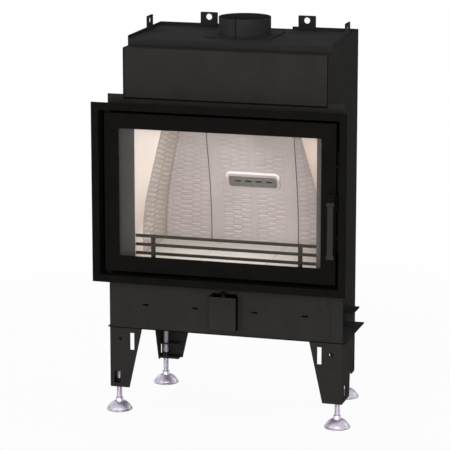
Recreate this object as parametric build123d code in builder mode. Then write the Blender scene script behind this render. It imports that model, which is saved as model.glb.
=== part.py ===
from build123d import *
import math
import os

# Wood burning fireplace insert. Millimetres, +X to the viewer's right, +Y towards the back, +Z up.
# The front plate's front face is Y = 0 and the feet stand on Z = 0.

# ---------------------------------------------------------------- driving dimensions
sheet = 3.0                    # body sheet
thin_sheet = 1.5               # covers and ducts
fit_gap = 0.3                  # gap between pieces that move past each other
bore_gap = 0.06                # radial play of a pin in its bush
thread_gap = 0.3               # radial play of a threaded rod in its hole

# casing
base_z = 255.0                 # underside of the base plate above the floor
casing_width = 607.0
casing_depth = 360.0
casing_height = 857.0          # from the base plate's underside to the rim of the side and back panels
rim_notch_width = 210.0        # lower stretch of the back panel's rim, behind the flue
rim_notch_depth = 7.5
cap_drop = 9.0                 # top plate below the rim
ledge_drop = 28.5              # ledge in front of the cap, below the rim
ledge_depth = 48.5

# front plate and the firebox mouth in it
plate_overhang = 46.5          # front plate beyond the casing at each side
plate_above_frame = 13.0       # front plate's top edge above the frame's
plate_lap = 8.0                # how far the upper front panel hangs over the front plate
mouth_inset = 29.5             # mouth's side edge inside the casing's wall
mouth_sill = 7.0               # mouth's bottom edge above the hearth
mouth_height = 390.0

# base plate and legs
base_wing_overhang = 7.0       # base plate beyond the front plate at each side
base_wing_back = 250.0
ear_rise = 43.0                # side ear above the base plate's underside
ear_reach = 36.0
ear_front = 175.0
ear_depth = 85.0
ear_sheet = 4.0
leg_bottom_z = 75.0
front_leg_top_width = 98.0
front_leg_bottom_width = 58.5
front_leg_top_depth = 115.0
front_leg_bottom_depth = 92.0
rear_leg_top_width = 106.0
rear_leg_bottom_width = 66.0
rear_leg_top_depth = 98.0
rear_leg_bottom_depth = 40.0
leg_hole_diameter = 12.0
leg_hole_inset = 33.0
leg_hole_drop = 33.0
leg_slot_width = 12.5
leg_slot_height = 51.0
leg_slot_inset = 68.0
leg_slot_drop = 39.0
leg_window_width = 19.0
leg_window_height = 38.0
leg_window_rise = 12.0         # window's bottom edge above the leg's bottom edge
leg_window_inset = 12.0
foot_plate = 6.0
foot_plate_width = 38.0        # front leg's foot plate from the leg's outer face
foot_plate_set_back = 30.0     # and how far it ends before the side wall does
guide_plate_rise = 47.0        # guide plate's underside above the leg's bottom edge
guide_plate_sheet = 4.0
leg_bolt_diameter = 10.0
leg_bolt_head_width = 17.0
leg_bolt_head_height = 6.4
leg_nut_height = 8.0
leg_bolt_end = 2.0             # thread that shows above the nut
bolt_near = 28.0               # bolt centre from the nearer outer face of its leg
bolt_far = 72.0                # and from the other one

# levelling feet
front_foot_inset = 19.0        # inside the front plate's edge
front_foot_y = 25.0
rear_foot_inset = 19.5         # inside the casing's side
rear_foot_back = 25.0          # in front of the casing's back
foot_diameter = 76.0
foot_rim_height = 3.0
dome_height = 23.0
dome_roundness = 0.58          # share of the way up and in at which the dome's shoulder lies
collar_diameter = 23.0
collar_height = 13.0
rod_diameter = 16.0
rod_length = 134.0             # above the collar
rod_chamfer = 1.3
lock_nut_width = 24.0
lock_nut_height = 13.0

# front frame round the door
frame_overhang = 25.0          # frame beyond the front plate at each side
frame_below_mouth = 52.0
frame_above_mouth = 84.0
frame_band = 22.0

# door, its seat and its rope
door_gap_side = 12.0
door_gap_end = 10.0
door_recess = 17.0             # door's face behind the frame's face
door_depth = 35.0
door_stile = 43.0              # side bar beside the window
door_top_rail = 44.0
door_bottom_rail = 46.0
door_back_lip = 30.0
glass_lap = 10.0
glass_thickness = 4.0
glass_tape = 2.0
tape_margin = 2.0              # tape set back from the window's edge
seat_inset = 23.0              # seat's inner edge inside the door's edge
seat_bar = 17.0
seat_depth = 20.0
rope_width = 12.0
rope_thickness = 6.0           # rope pressed between the seat and the closed door
clip_width = 26.0
clip_reach = 8.0
clip_foot = 10.0
clip_foot_gap = 2.0
clip_sheet = 2.0
clip_from_corner = 70.0        # side clip's middle from the window's top or bottom edge
clip_screw_diameter = 8.0
clip_screw_height = 3.0

# hinge
pivot_inset_x = 10.0
pivot_inset_y = 8.0
pin_diameter = 8.0
pin_head_diameter = 12.0
pin_head_height = 2.0
pin_end_gap = 3.0              # pin's end short of its bush's end
ear_thickness = 4.0
hinge_ear_gap = 3.0            # hinge ear above or below the door's edge
bush_height = 21.0
bush_trim = 1.0                # bush block's side short of the pivot's far side

# latch
latch_rise = 238.5             # latch's middle above the door's bottom edge
shaft_diameter = 7.0
shaft_length = 291.0
shaft_inset_y = 7.0
hub_diameter = 10.0
hub_gap = 0.5                  # hub beside the door's edge
hook_offset = 127.5            # hook above or below the latch's middle
hook_height = 6.0
hook_slot_margin = 1.0
hook_reach = 23.0
hook_nose = 4.5
hook_arm = 3.8
hook_nose_depth = 4.0
strike_diameter = 5.0
strike_gap = 0.5
strike_inset = 1.0             # strike pin's middle inside the hook's tip
strike_ear_sheet = 3.0
strike_ear_lap = 4.0
strike_clear = 2.0             # strike's ear beside the door's edge
bearing_offset = 102.5
bearing_height = 8.0
handle_width = 21.0
handle_length = 161.5
handle_thickness = 4.0
handle_inset = 3.0             # grip's right edge inside the door's edge
handle_stand_off = 7.0
arm_height = 51.0
arm_lap = 8.0                  # how far the arm's root runs behind the grip
arm_bend = 7.6                 # where the arm turns in front of the shaft

# firebox lining
floor_rise = 170.0             # floor plate above the base plate's underside
floor_plate = 5.0
brick_height = 25.0
brick_width = 200.0
lining_height = 425.0
lining_thickness = 22.0
back_lining_gap = 29.0         # face of the back lining from the casing's back wall, at the hearth
side_lining_gap = 20.5         # face of the side lining from the casing's side wall, at the hearth
lean_start = 20.0              # height above the hearth where the lining starts to lean in
lean_radius = 734.0
lean_angle = 15.0
cheek_bottom_y = 106.0
cheek_top_y = 56.0
centre_panel_width = 268.0
joint_gap = 1.5
sill_depth = 23.0

# baffles
baffle_gap = 2.0               # boards inside the casing's walls
lower_baffle_front = 110.0
lower_baffle = 25.0
smoke_gap = 60.0               # between the two boards
upper_baffle = 20.0
upper_baffle_gap = 4.0         # upper board behind the top plate's drop
upper_baffle_depth = 216.0
rail_width = 20.0

# air nozzle in the back lining
nozzle_rise = 193.0            # nozzle's middle above the hearth
nozzle_width = 146.0
nozzle_height = 32.0
nozzle_slots = 4
nozzle_slot_pitch = 32.5
nozzle_slot_width = 20.0
nozzle_slot_height = 5.0
nozzle_corner = 8.0
bead_side = 9.0
bead_top = 18.0
bead_bottom = 5.0
bead_proud = 6.0
duct_width = 120.0
duct_gap = 0.5                 # duct behind the lining
duct_foot = 25.0               # duct's open end below the floor plate
spout_inset = 5.0
spout_height = 26.0

# combustion air
air_collar_diameter = 125.0
air_collar_wall = 2.0
air_collar_height = 42.0
air_collar_y = 230.0
air_box_width = 300.0
air_box_depth = 72.0
air_box_height = 73.0
air_slots = 7
air_slot_pitch = 40.0
air_slot_width = 20.0
air_slot_margin = 6.5          # slot's end inside the damper's edge
damper_side_gap = 8.0
damper_end_gap = 7.0
damper_sheet = 3.7
damper_lap = 4.0               # damper's edge on its rails
ledge_rail = 3.7
lever_width = 12.0
lever_sheet = 4.0
lever_gap = 10.0               # lever behind the face of its box
lever_rise = 26.0              # lever's top above the air box's underside
knob_diameter = 14.0
knob_height = 11.0
knob_rounding = 3.5

# lower cover and the box over the air lever
lower_cover_inset = 37.0       # cover inside the front plate's edge
lower_cover_rise = 7.0         # cover's bottom edge above the base plate's underside
lower_cover_drop = 6.0         # cover's top edge below the frame
lower_cover_sheet = 2.0
cover_slot_width = 18.0
cover_slot_height = 5.0
cover_slot_rise = 75.0
cover_slot_x = 89.0
cover_slot_pitch = 150.0
slit_width = 3.0
slit_height = 26.0
slit_inset = 5.0
slit_rise = 104.0
lever_window_width = 74.0
lever_window_height = 37.0
lever_window_drop = 9.0        # window's bottom edge below the air box's underside
box_margin = 3.5
box_rise = 21.0
box_below_lever = 3.0
box_proud = 27.0
box_flange = 8.5

# flue
flue_bore = 150.0
flue_wall = 2.0
flue_height = 54.0
flue_y = 212.0
flue_plate_side = 21.0         # flue plate beside the collar
flue_plate_end = 8.0           # flue plate before and behind the collar

# lifting lugs
lug_width = 53.0
lug_height = 43.0
lug_sheet = 4.0
lug_hole = 18.0
lug_hole_drop = 14.5
lug_corner = 3.0
rear_lug_x = 150.0
side_lug_y = 240.0

# log guard
guard_gap = 0.5                # rails' ends beside the mouth's edge
guard_bar = 8.0
guard_bars = 3
guard_first_rise = 28.0
guard_pitch = 25.5
guard_y = 6.0
guard_post_inset = 50.5
guard_post_width = 13.0
guard_post_sheet = 4.0

# ---------------------------------------------------------------- worked out from them
casing_x = casing_width / 2
inside_x = casing_x - sheet
inside_back = casing_depth - sheet
base_top_z = base_z + sheet
rim_z = base_z + casing_height
rim_notch_z = rim_z - rim_notch_depth
cap_z = rim_z - cap_drop
ledge_z = rim_z - ledge_drop

floor_plate_z = base_z + floor_rise
floor_top_z = floor_plate_z + floor_plate
brick_top_z = floor_top_z + brick_height
lining_top_z = brick_top_z + lining_height
lining_back_y = inside_back - back_lining_gap
lining_side_x = inside_x - side_lining_gap
lean_start_z = brick_top_z + lean_start
lean_rise = lean_radius * math.sin(math.radians(lean_angle))
lean_shift = lean_radius * (1 - math.cos(math.radians(lean_angle)))
lean_slope = math.tan(math.radians(lean_angle))
upper_baffle_front = ledge_depth + thin_sheet + upper_baffle_gap
upper_baffle_end = upper_baffle_front + upper_baffle_depth
upper_baffle_z = lining_top_z + lower_baffle + smoke_gap
nozzle_z = brick_top_z + nozzle_rise
nozzle_lean = min(lean_angle, math.degrees(math.asin((nozzle_z - lean_start_z) / lean_radius)))
spout_low, spout_high = nozzle_z - spout_height / 2, nozzle_z + spout_height / 2
spout_width = duct_width - 2 * spout_inset
duct_bottom_z = floor_plate_z - duct_foot
duct_depth = back_lining_gap - lining_thickness - duct_gap

plate_x = casing_x + plate_overhang
mouth_x = inside_x - mouth_inset
mouth_bottom_z = brick_top_z + mouth_sill
mouth_top_z = mouth_bottom_z + mouth_height
frame_x = plate_x + frame_overhang
frame_bottom_z = mouth_bottom_z - frame_below_mouth
frame_top_z = mouth_top_z + frame_above_mouth
plate_top_z = frame_top_z + plate_above_frame
panel_bottom_z = plate_top_z - plate_lap
well_x = frame_x - frame_band
well_bottom_z = frame_bottom_z + frame_band
well_top_z = frame_top_z - frame_band

door_x = well_x - door_gap_side
door_bottom_z = well_bottom_z + door_gap_end
door_top_z = well_top_z - door_gap_end
door_back_y = -seat_depth - rope_thickness
door_front_y = door_back_y - door_depth
frame_front_y = door_front_y - door_recess
window_x = door_x - door_stile
window_bottom_z = door_bottom_z + door_bottom_rail
window_top_z = door_top_z - door_top_rail
glass_x = window_x + glass_lap
glass_bottom_z = window_bottom_z - glass_lap
glass_top_z = window_top_z + glass_lap
glass_back_y = door_front_y + sheet + glass_tape + glass_thickness
seat_x = door_x - seat_inset
seat_outer_x = seat_x + seat_bar
seat_inner_bottom_z = door_bottom_z + seat_inset
seat_inner_top_z = door_top_z - seat_inset

pivot_x = -door_x + pivot_inset_x
pivot_y = door_front_y + pivot_inset_y
shaft_x = door_x + hub_gap + hub_diameter / 2
shaft_y = door_front_y + shaft_inset_y
latch_z = door_bottom_z + latch_rise
hook_z = (latch_z - hook_offset, latch_z + hook_offset)
bearing_z = (latch_z - bearing_offset, latch_z + bearing_offset)
handle_front_y = door_front_y - handle_stand_off - handle_thickness

front_foot_x = plate_x - front_foot_inset
rear_foot_x = casing_x - rear_foot_inset
rear_foot_y = casing_depth - rear_foot_back
middle_y = (frame_front_y + rear_foot_y + foot_diameter / 2) / 2

air_box_z = floor_plate_z - air_box_height
air_back = sheet + air_box_depth
damper_x = air_box_width / 2 - damper_side_gap
damper_front = sheet + damper_end_gap
damper_end = air_back - damper_end_gap
damper_top_z = air_box_z - fit_gap
damper_z = damper_top_z - damper_sheet
rail_top_z = damper_z - fit_gap
rail_z = rail_top_z - ledge_rail
air_slot_length = damper_end - damper_front - 2 * air_slot_margin
lever_front = lever_gap - box_proud
lever_top_z = air_box_z + lever_rise
lever_window_bottom_z = air_box_z - lever_window_drop
lever_window_top_z = lever_window_bottom_z + lever_window_height
lower_cover_x = plate_x - lower_cover_inset
lower_cover_bottom_z = base_z + lower_cover_rise
lower_cover_top_z = frame_bottom_z - lower_cover_drop
cover_slots = [(sign * (cover_slot_x + k * cover_slot_pitch), base_z + cover_slot_rise)
               for k in (0, 1) for sign in (-1, 1)]
box_x = lever_window_width / 2 + box_margin
box_bottom_z = base_z + box_rise
box_top_z = lever_top_z - box_below_lever

flue_outer_r = flue_bore / 2 + flue_wall
guard_x = mouth_x - guard_gap
guard_bar_z = [brick_top_z + guard_first_rise + k * guard_pitch for k in range(guard_bars)]

SIDES = (("left", -1), ("right", 1))
os.makedirs("parts", exist_ok=True)


# ---------------------------------------------------------------- helpers
def front(y):
    """Plane seen from the front, X to the right and Z up, at depth y; negative extrusions go back."""
    return Plane.XZ.offset(-y)


def rect(x0, x1, y0, y1, mode=Mode.ADD):
    """Rectangle between two corners, in the sketch in hand."""
    with Locations(((x0 + x1) / 2, (y0 + y1) / 2)):
        Rectangle(x1 - x0, y1 - y0, mode=mode)


def block(x, y, z, mode=Mode.ADD):
    """Box between the low and high values of each axis, in the part in hand."""
    with Locations(((x[0] + x[1]) / 2, (y[0] + y[1]) / 2, (z[0] + z[1]) / 2)):
        Box(x[1] - x[0], y[1] - y[0], z[1] - z[0], mode=mode)


def span(sign, near, far):
    """The two X values near and far from the middle, low one first, on the side given by sign."""
    return (near, far) if sign > 0 else (-far, -near)


def outline(*points):
    """Filled polygon, in the sketch in hand."""
    with BuildLine() as edge:
        Polyline(*points, close=True)
    make_face(edge.edges())


def lean(z):
    """How far the lining has leaned in over the fire at height z."""
    rise = z - lean_start_z
    if rise <= 0:
        return 0.0
    if rise <= lean_rise:
        return lean_radius - math.sqrt(lean_radius ** 2 - rise ** 2)
    return lean_shift + (rise - lean_rise) * lean_slope


def lean_outline(face, back):
    """Filled outline between the leaning line that starts at face and the line or curve at back."""
    top_lean = lean(lining_top_z)
    knee = (face - lean_shift, lean_start_z + lean_rise)
    middle_rise = lean_radius * math.sin(math.radians(lean_angle / 2))
    middle = (face - lean(lean_start_z + middle_rise), lean_start_z + middle_rise)
    with BuildLine() as edge:
        Line((face, brick_top_z), (face, lean_start_z))
        ThreePointArc((face, lean_start_z), middle, knee)
        Line(knee, (face - top_lean, lining_top_z))
        if back is None:
            shifted = face + lining_thickness
            knee_back = (shifted - lean_shift, lean_start_z + lean_rise)
            middle_back = (middle[0] + lining_thickness, middle[1])
            Line((face - top_lean, lining_top_z), (shifted - top_lean, lining_top_z))
            Line((shifted - top_lean, lining_top_z), knee_back)
            ThreePointArc(knee_back, middle_back, (shifted, lean_start_z))
            Line((shifted, lean_start_z), (shifted, brick_top_z))
            Line((shifted, brick_top_z), (face, brick_top_z))
        else:
            Polyline((face - top_lean, lining_top_z), (back, lining_top_z), (back, brick_top_z),
                     (face, brick_top_z))
    make_face(edge.edges())


def cheek_y(z):
    """Depth of the joint between a cheek and the side lining behind it, at height z."""
    share = (z - brick_top_z) / (lining_top_z - brick_top_z)
    return cheek_bottom_y + (cheek_top_y - cheek_bottom_y) * share


def save(builder, name):
    """Place a finished piece about the middle of the footprint, label it and write it."""
    piece = builder.part.moved(Location((0, -middle_y, 0)))
    piece.label = name
    export_step(piece, f"parts/{name}.step")


def leg_bolt_places(sign, rear):
    """The two bolt centres of one leg."""
    if rear:
        return [(sign * (casing_x - bolt_near), casing_depth - bolt_far),
                (sign * (casing_x - bolt_far), casing_depth - bolt_near)]
    return [(sign * (plate_x - bolt_near), bolt_far), (sign * (plate_x - bolt_far), bolt_near)]


def foot_place(sign, rear):
    return (sign * rear_foot_x, rear_foot_y) if rear else (sign * front_foot_x, front_foot_y)


leg_bolt_centres = [p for rear in (False, True) for _, sign in SIDES for p in leg_bolt_places(sign, rear)]
foot_centres = [foot_place(sign, rear) for rear in (False, True) for _, sign in SIDES]


# ---------------------------------------------------------------- casing
for side, sign in SIDES:
    with BuildPart() as side_panel:
        with BuildSketch(Plane.YZ.offset(sign * casing_x - (sheet if sign > 0 else 0))):
            outline((sheet, base_top_z), (casing_depth, base_top_z), (casing_depth, rim_z),
                    (ledge_depth, rim_z), (ledge_depth, ledge_z), (0, ledge_z), (0, plate_top_z),
                    (sheet, plate_top_z))
        extrude(amount=sheet)
    save(side_panel, f"side_panel_{side}")

with BuildPart() as back_panel:
    block((-inside_x, inside_x), (inside_back, casing_depth), (base_top_z, rim_z))
    block((-rim_notch_width / 2, rim_notch_width / 2), (inside_back, casing_depth), (rim_notch_z, rim_z),
          Mode.SUBTRACT)
save(back_panel, "back_panel")

with BuildPart() as front_plate:
    with BuildSketch(front(0)):
        rect(-plate_x, plate_x, base_top_z, plate_top_z)
        rect(-mouth_x, mouth_x, mouth_bottom_z, mouth_top_z, Mode.SUBTRACT)
        rect(-lever_window_width / 2, lever_window_width / 2, lever_window_bottom_z, lever_window_top_z,
             Mode.SUBTRACT)
        with Locations(*cover_slots):
            Rectangle(cover_slot_width, cover_slot_height, mode=Mode.SUBTRACT)
    extrude(amount=-sheet)
save(front_plate, "front_plate")

# bent sheet: the face hangs over the front plate's top edge, the ledge runs back to the cap
with BuildPart() as upper_front_panel:
    with BuildSketch(Plane.YZ.offset(-casing_x + sheet)):
        rect(-thin_sheet, 0, panel_bottom_z, ledge_z)
        rect(-thin_sheet, ledge_depth, ledge_z - thin_sheet, ledge_z)
    extrude(amount=casing_width - 2 * sheet)
save(upper_front_panel, "upper_front_panel")

# top plate with its front drop, set down inside the rims
with BuildPart() as top_plate:
    with BuildSketch(Plane.YZ.offset(-inside_x)):
        rect(ledge_depth, ledge_depth + thin_sheet, ledge_z - thin_sheet, cap_z)
        rect(ledge_depth, inside_back, cap_z - sheet, cap_z)
    extrude(amount=2 * inside_x)
    with Locations((0, flue_y, cap_z - sheet / 2)):
        Cylinder(flue_bore / 2, sheet, mode=Mode.SUBTRACT)
save(top_plate, "top_plate")

with BuildPart() as flue_plate:
    with BuildSketch(Plane.XY.offset(cap_z)):
        with Locations((0, flue_y)):
            Rectangle(2 * (flue_outer_r + flue_plate_side), 2 * (flue_outer_r + flue_plate_end))
            Circle(flue_outer_r, mode=Mode.SUBTRACT)
    extrude(amount=sheet)
save(flue_plate, "flue_plate")

with BuildPart() as flue_collar:
    with BuildSketch(Plane.XY.offset(cap_z)):
        with Locations((0, flue_y)):
            Circle(flue_outer_r)
            Circle(flue_bore / 2, mode=Mode.SUBTRACT)
    extrude(amount=flue_height)
save(flue_collar, "flue_collar")

# four lifting lugs stand on the top plate, two inside the back rim and one inside each side rim
rear_lugs, side_lugs = (-rear_lug_x, rear_lug_x), (-inside_x, inside_x - lug_sheet)
lug_planes = [Plane.XZ.offset(-inside_back).shift_origin((x, inside_back, cap_z)) for x in rear_lugs]
lug_planes += [Plane.YZ.offset(x).shift_origin((x, side_lug_y, cap_z)) for x in side_lugs]
with BuildPart() as lifting_lugs:
    with BuildSketch(*lug_planes):
        with Locations((0, lug_height / 2)):
            Rectangle(lug_width, lug_height)
        with Locations((0, lug_height - lug_hole_drop)):
            Circle(lug_hole / 2, mode=Mode.SUBTRACT)
    extrude(amount=lug_sheet)
    lug_corners = lifting_lugs.edges().group_by(Axis.Z)[-1].filter_by(lambda e: e.length < lug_width / 2)
    fillet(lug_corners, lug_corner)
save(lifting_lugs, "lifting_lugs")

with BuildPart() as base_plate:
    with BuildSketch(Plane.XY.offset(base_z)):
        rect(-plate_x - base_wing_overhang, plate_x + base_wing_overhang, sheet, base_wing_back)
        rect(-plate_x, plate_x, 0, sheet)
        rect(-casing_x, casing_x, base_wing_back, casing_depth)
        with Locations((0, air_collar_y)):
            Circle(air_collar_diameter / 2 - air_collar_wall, mode=Mode.SUBTRACT)
        with Locations(*leg_bolt_centres):
            Circle(leg_bolt_diameter / 2, mode=Mode.SUBTRACT)
    extrude(amount=sheet)
save(base_plate, "base_plate")

with BuildPart() as side_ears:
    for side, sign in SIDES:
        block(span(sign, casing_x, casing_x + ear_reach), (ear_front, ear_front + ear_depth),
              (base_z + ear_rise, base_z + ear_rise + ear_sheet))
save(side_ears, "side_ears")


# ---------------------------------------------------------------- legs and levelling feet
window_bottom = leg_bottom_z + leg_window_rise
window_top = window_bottom + leg_window_height
hole_z = base_z - leg_hole_drop
slot_z = base_z - leg_slot_drop

for side, sign in SIDES:
    outer, inner_top = sign * plate_x, sign * (plate_x - front_leg_top_width)
    inner_bottom = sign * (plate_x - front_leg_bottom_width)
    with BuildPart() as front_leg:
        with BuildSketch(front(0)):
            outline((outer, leg_bottom_z), (outer, base_z), (inner_top, base_z), (inner_bottom, leg_bottom_z))
            with Locations((sign * (plate_x - leg_hole_inset), hole_z)):
                Circle(leg_hole_diameter / 2, mode=Mode.SUBTRACT)
            with Locations((sign * (plate_x - leg_slot_inset), slot_z)):
                Rectangle(leg_slot_width, leg_slot_height, mode=Mode.SUBTRACT)
            if side == "left":
                window = span(sign, plate_x - leg_window_inset - leg_window_width, plate_x - leg_window_inset)
                rect(*window, window_bottom, window_top, Mode.SUBTRACT)
        extrude(amount=-sheet)
        with BuildSketch(Plane.YZ.offset(outer - (sheet if sign > 0 else 0))):
            outline((sheet, leg_bottom_z), (sheet, base_z), (front_leg_top_depth, base_z),
                    (front_leg_bottom_depth, leg_bottom_z))
            if side == "right":
                start = leg_window_inset + leg_window_width - sheet
                rect(start, start + leg_window_width, window_bottom, window_top, Mode.SUBTRACT)
        extrude(amount=sheet)
        inner = span(sign, plate_x - foot_plate_width, plate_x - sheet)
        top = span(sign, plate_x - front_leg_top_width + sheet, plate_x - sheet)
        shelf_back = front_leg_bottom_depth - foot_plate_set_back
        block(inner, (sheet, shelf_back), (leg_bottom_z + sheet, leg_bottom_z + sheet + foot_plate))
        guide_z = leg_bottom_z + guide_plate_rise
        block(inner, (sheet, shelf_back), (guide_z, guide_z + guide_plate_sheet))
        block(top, (sheet, front_leg_bottom_depth), (base_z - sheet, base_z))
        with Locations((*foot_place(sign, False), leg_bottom_z + guide_plate_rise)):
            Cylinder(rod_diameter / 2 + thread_gap, 2 * guide_plate_rise, mode=Mode.SUBTRACT)
        with Locations(*[(x, y, base_z - sheet / 2) for x, y in leg_bolt_places(sign, False)]):
            Cylinder(leg_bolt_diameter / 2, sheet, mode=Mode.SUBTRACT)
    save(front_leg, f"leg_front_{side}")

    outer, inner_top = sign * casing_x, sign * (casing_x - rear_leg_top_width)
    inner_bottom = sign * (casing_x - rear_leg_bottom_width)
    with BuildPart() as rear_leg:
        with BuildSketch(front(inside_back)):
            outline((outer, leg_bottom_z), (outer, base_z), (inner_top, base_z), (inner_bottom, leg_bottom_z))
            with Locations((sign * (casing_x - leg_slot_inset), slot_z)):
                Rectangle(leg_slot_width, leg_slot_height, mode=Mode.SUBTRACT)
        extrude(amount=-sheet)
        with BuildSketch(Plane.YZ.offset(outer - (sheet if sign > 0 else 0))):
            outline((inside_back, leg_bottom_z), (inside_back, base_z),
                    (casing_depth - rear_leg_top_depth, base_z),
                    (casing_depth - rear_leg_bottom_depth, leg_bottom_z))
            rect(casing_depth - leg_window_inset - leg_window_width / 2, casing_depth - leg_window_inset / 2,
                 window_bottom, window_top, Mode.SUBTRACT)
        extrude(amount=sheet)
        inner = span(sign, casing_x - rear_leg_bottom_width + sheet, casing_x - sheet)
        top = span(sign, casing_x - rear_leg_top_width + sheet, casing_x - sheet)
        shelf = (casing_depth - rear_leg_bottom_depth + sheet, inside_back)
        block(inner, shelf, (leg_bottom_z + sheet, leg_bottom_z + sheet + foot_plate))
        guide_z = leg_bottom_z + guide_plate_rise
        block(inner, shelf, (guide_z, guide_z + guide_plate_sheet))
        block(top, (casing_depth - rear_leg_top_depth + sheet, inside_back), (base_z - sheet, base_z))
        with Locations((*foot_place(sign, True), leg_bottom_z + guide_plate_rise)):
            Cylinder(rod_diameter / 2 + thread_gap, 2 * guide_plate_rise, mode=Mode.SUBTRACT)
        with Locations(*[(x, y, base_z - sheet / 2) for x, y in leg_bolt_places(sign, True)]):
            Cylinder(leg_bolt_diameter / 2, sheet, mode=Mode.SUBTRACT)
    save(rear_leg, f"leg_rear_{side}")

# the bolts stand up through the leg flanges and the base plate, with a nut on each
with BuildPart() as leg_bolts:
    with BuildSketch(Plane.XY.offset(base_z - sheet)):
        with Locations(*leg_bolt_centres):
            RegularPolygon(leg_bolt_head_width / 2, 6, major_radius=False)
    extrude(amount=-leg_bolt_head_height)
    with BuildSketch(Plane.XY.offset(base_z - sheet)):
        with Locations(*leg_bolt_centres):
            Circle(leg_bolt_diameter / 2)
    extrude(amount=2 * sheet + leg_nut_height + leg_bolt_end)
    with BuildSketch(Plane.XY.offset(base_top_z)):
        with Locations(*leg_bolt_centres):
            RegularPolygon(leg_bolt_head_width / 2, 6, major_radius=False)
    extrude(amount=leg_nut_height)
save(leg_bolts, "leg_bolts")

with BuildPart() as lock_nuts:
    with BuildSketch(Plane.XY.offset(leg_bottom_z + sheet + foot_plate)):
        with Locations(*foot_centres):
            RegularPolygon(lock_nut_width / 2, 6, major_radius=False)
            Circle(rod_diameter / 2 + thread_gap, mode=Mode.SUBTRACT)
    extrude(amount=lock_nut_height)
save(lock_nuts, "lock_nuts")

for rear, place in ((False, "front"), (True, "rear")):
    for side, sign in SIDES:
        x, y = foot_place(sign, rear)
        pad_r, collar_r, rod_r = foot_diameter / 2, collar_diameter / 2, rod_diameter / 2
        shoulder_r = pad_r + (collar_r - pad_r) * (1 - dome_roundness)
        shoulder_z = foot_rim_height + (dome_height - foot_rim_height) * dome_roundness
        collar_top_z = dome_height + collar_height
        with BuildPart() as foot:
            with BuildSketch(Plane.XZ.offset(-y)):
                with BuildLine():
                    Polyline((x, 0), (x + pad_r, 0), (x + pad_r, foot_rim_height))
                    ThreePointArc((x + pad_r, foot_rim_height), (x + shoulder_r, shoulder_z),
                                  (x + collar_r, dome_height))
                    Polyline((x + collar_r, dome_height), (x + collar_r, collar_top_z),
                             (x + rod_r, collar_top_z), (x + rod_r, collar_top_z + rod_length),
                             (x, collar_top_z + rod_length), (x, 0))
                make_face()
            revolve(axis=Axis((x, y, 0), (0, 0, 1)))
            chamfer(foot.edges().group_by(Axis.Z)[-1], rod_chamfer)
        save(foot, f"foot_{place}_{side}")

# ---------------------------------------------------------------- front frame and door seat
with BuildPart() as front_frame:
    with BuildSketch(front(frame_front_y)):
        rect(-frame_x, frame_x, frame_bottom_z, frame_top_z)
        rect(-well_x, well_x, well_bottom_z, well_top_z, Mode.SUBTRACT)
    extrude(amount=-sheet)
    with BuildSketch(front(frame_front_y)):
        rect(-well_x - sheet, well_x + sheet, well_bottom_z - sheet, well_top_z + sheet)
        rect(-well_x, well_x, well_bottom_z, well_top_z, Mode.SUBTRACT)
    extrude(amount=frame_front_y)
save(front_frame, "front_frame")

with BuildPart() as door_seat:
    with BuildSketch(front(-seat_depth)):
        rect(-seat_outer_x, seat_outer_x, seat_inner_bottom_z - seat_bar, seat_inner_top_z + seat_bar)
        rect(-seat_x, seat_x, seat_inner_bottom_z, seat_inner_top_z, Mode.SUBTRACT)
    extrude(amount=-seat_depth)
    with BuildSketch(front(-thin_sheet)):
        rect(-seat_x, seat_x, seat_inner_bottom_z, seat_inner_top_z)
        rect(-mouth_x, mouth_x, mouth_bottom_z, mouth_top_z, Mode.SUBTRACT)
    extrude(amount=-thin_sheet)
save(door_seat, "door_seat")

# ---------------------------------------------------------------- door
hook_slot_y = (shaft_y + hub_gap, door_back_y - sheet - hook_slot_margin)
with BuildPart() as door_frame:
    with BuildSketch(front(door_front_y)):
        rect(-door_x, door_x, door_bottom_z, door_top_z)
        rect(-window_x, window_x, window_bottom_z, window_top_z, Mode.SUBTRACT)
    extrude(amount=-sheet)
    with BuildSketch(front(door_front_y)):
        rect(-door_x, door_x, door_bottom_z, door_top_z)
        rect(-door_x + sheet, door_x - sheet, door_bottom_z + sheet, door_top_z - sheet, Mode.SUBTRACT)
    extrude(amount=-door_depth)
    with BuildSketch(front(door_back_y - sheet)):
        rect(-door_x, door_x, door_bottom_z, door_top_z)
        rect(-door_x + door_back_lip, door_x - door_back_lip, door_bottom_z + door_back_lip,
             door_top_z - door_back_lip, Mode.SUBTRACT)
    extrude(amount=-sheet)
    for z in hook_z:
        slot_half = hook_height / 2 + hook_slot_margin
        block((door_x - sheet, door_x), hook_slot_y, (z - slot_half, z + slot_half), Mode.SUBTRACT)
    for z in (door_top_z - sheet / 2, door_bottom_z + sheet / 2):
        with Locations((pivot_x, pivot_y, z)):
            Cylinder(pin_diameter / 2 + bore_gap, sheet, mode=Mode.SUBTRACT)
save(door_frame, "door_frame")

with BuildPart() as hinge_bushes:
    wide = (-door_x + sheet, pivot_x + pivot_inset_x - bush_trim)
    deep = (door_front_y + sheet, pivot_y + pivot_inset_y)
    for high in (door_top_z - sheet, door_bottom_z + sheet + bush_height):
        block(wide, deep, (high - bush_height, high))
        with Locations((pivot_x, pivot_y, high - bush_height / 2)):
            Cylinder(pin_diameter / 2 + bore_gap, bush_height, mode=Mode.SUBTRACT)
save(hinge_bushes, "hinge_bushes")

with BuildPart() as hinge_brackets:
    wide = (pivot_x - pivot_inset_x, pivot_x + pivot_inset_x)
    for low in (door_top_z + hinge_ear_gap, door_bottom_z - hinge_ear_gap - ear_thickness):
        block(wide, (door_front_y, 0), (low, low + ear_thickness))
        with Locations((pivot_x, pivot_y, low + ear_thickness / 2)):
            Cylinder(pin_diameter / 2, ear_thickness, mode=Mode.SUBTRACT)
save(hinge_brackets, "hinge_brackets")

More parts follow.
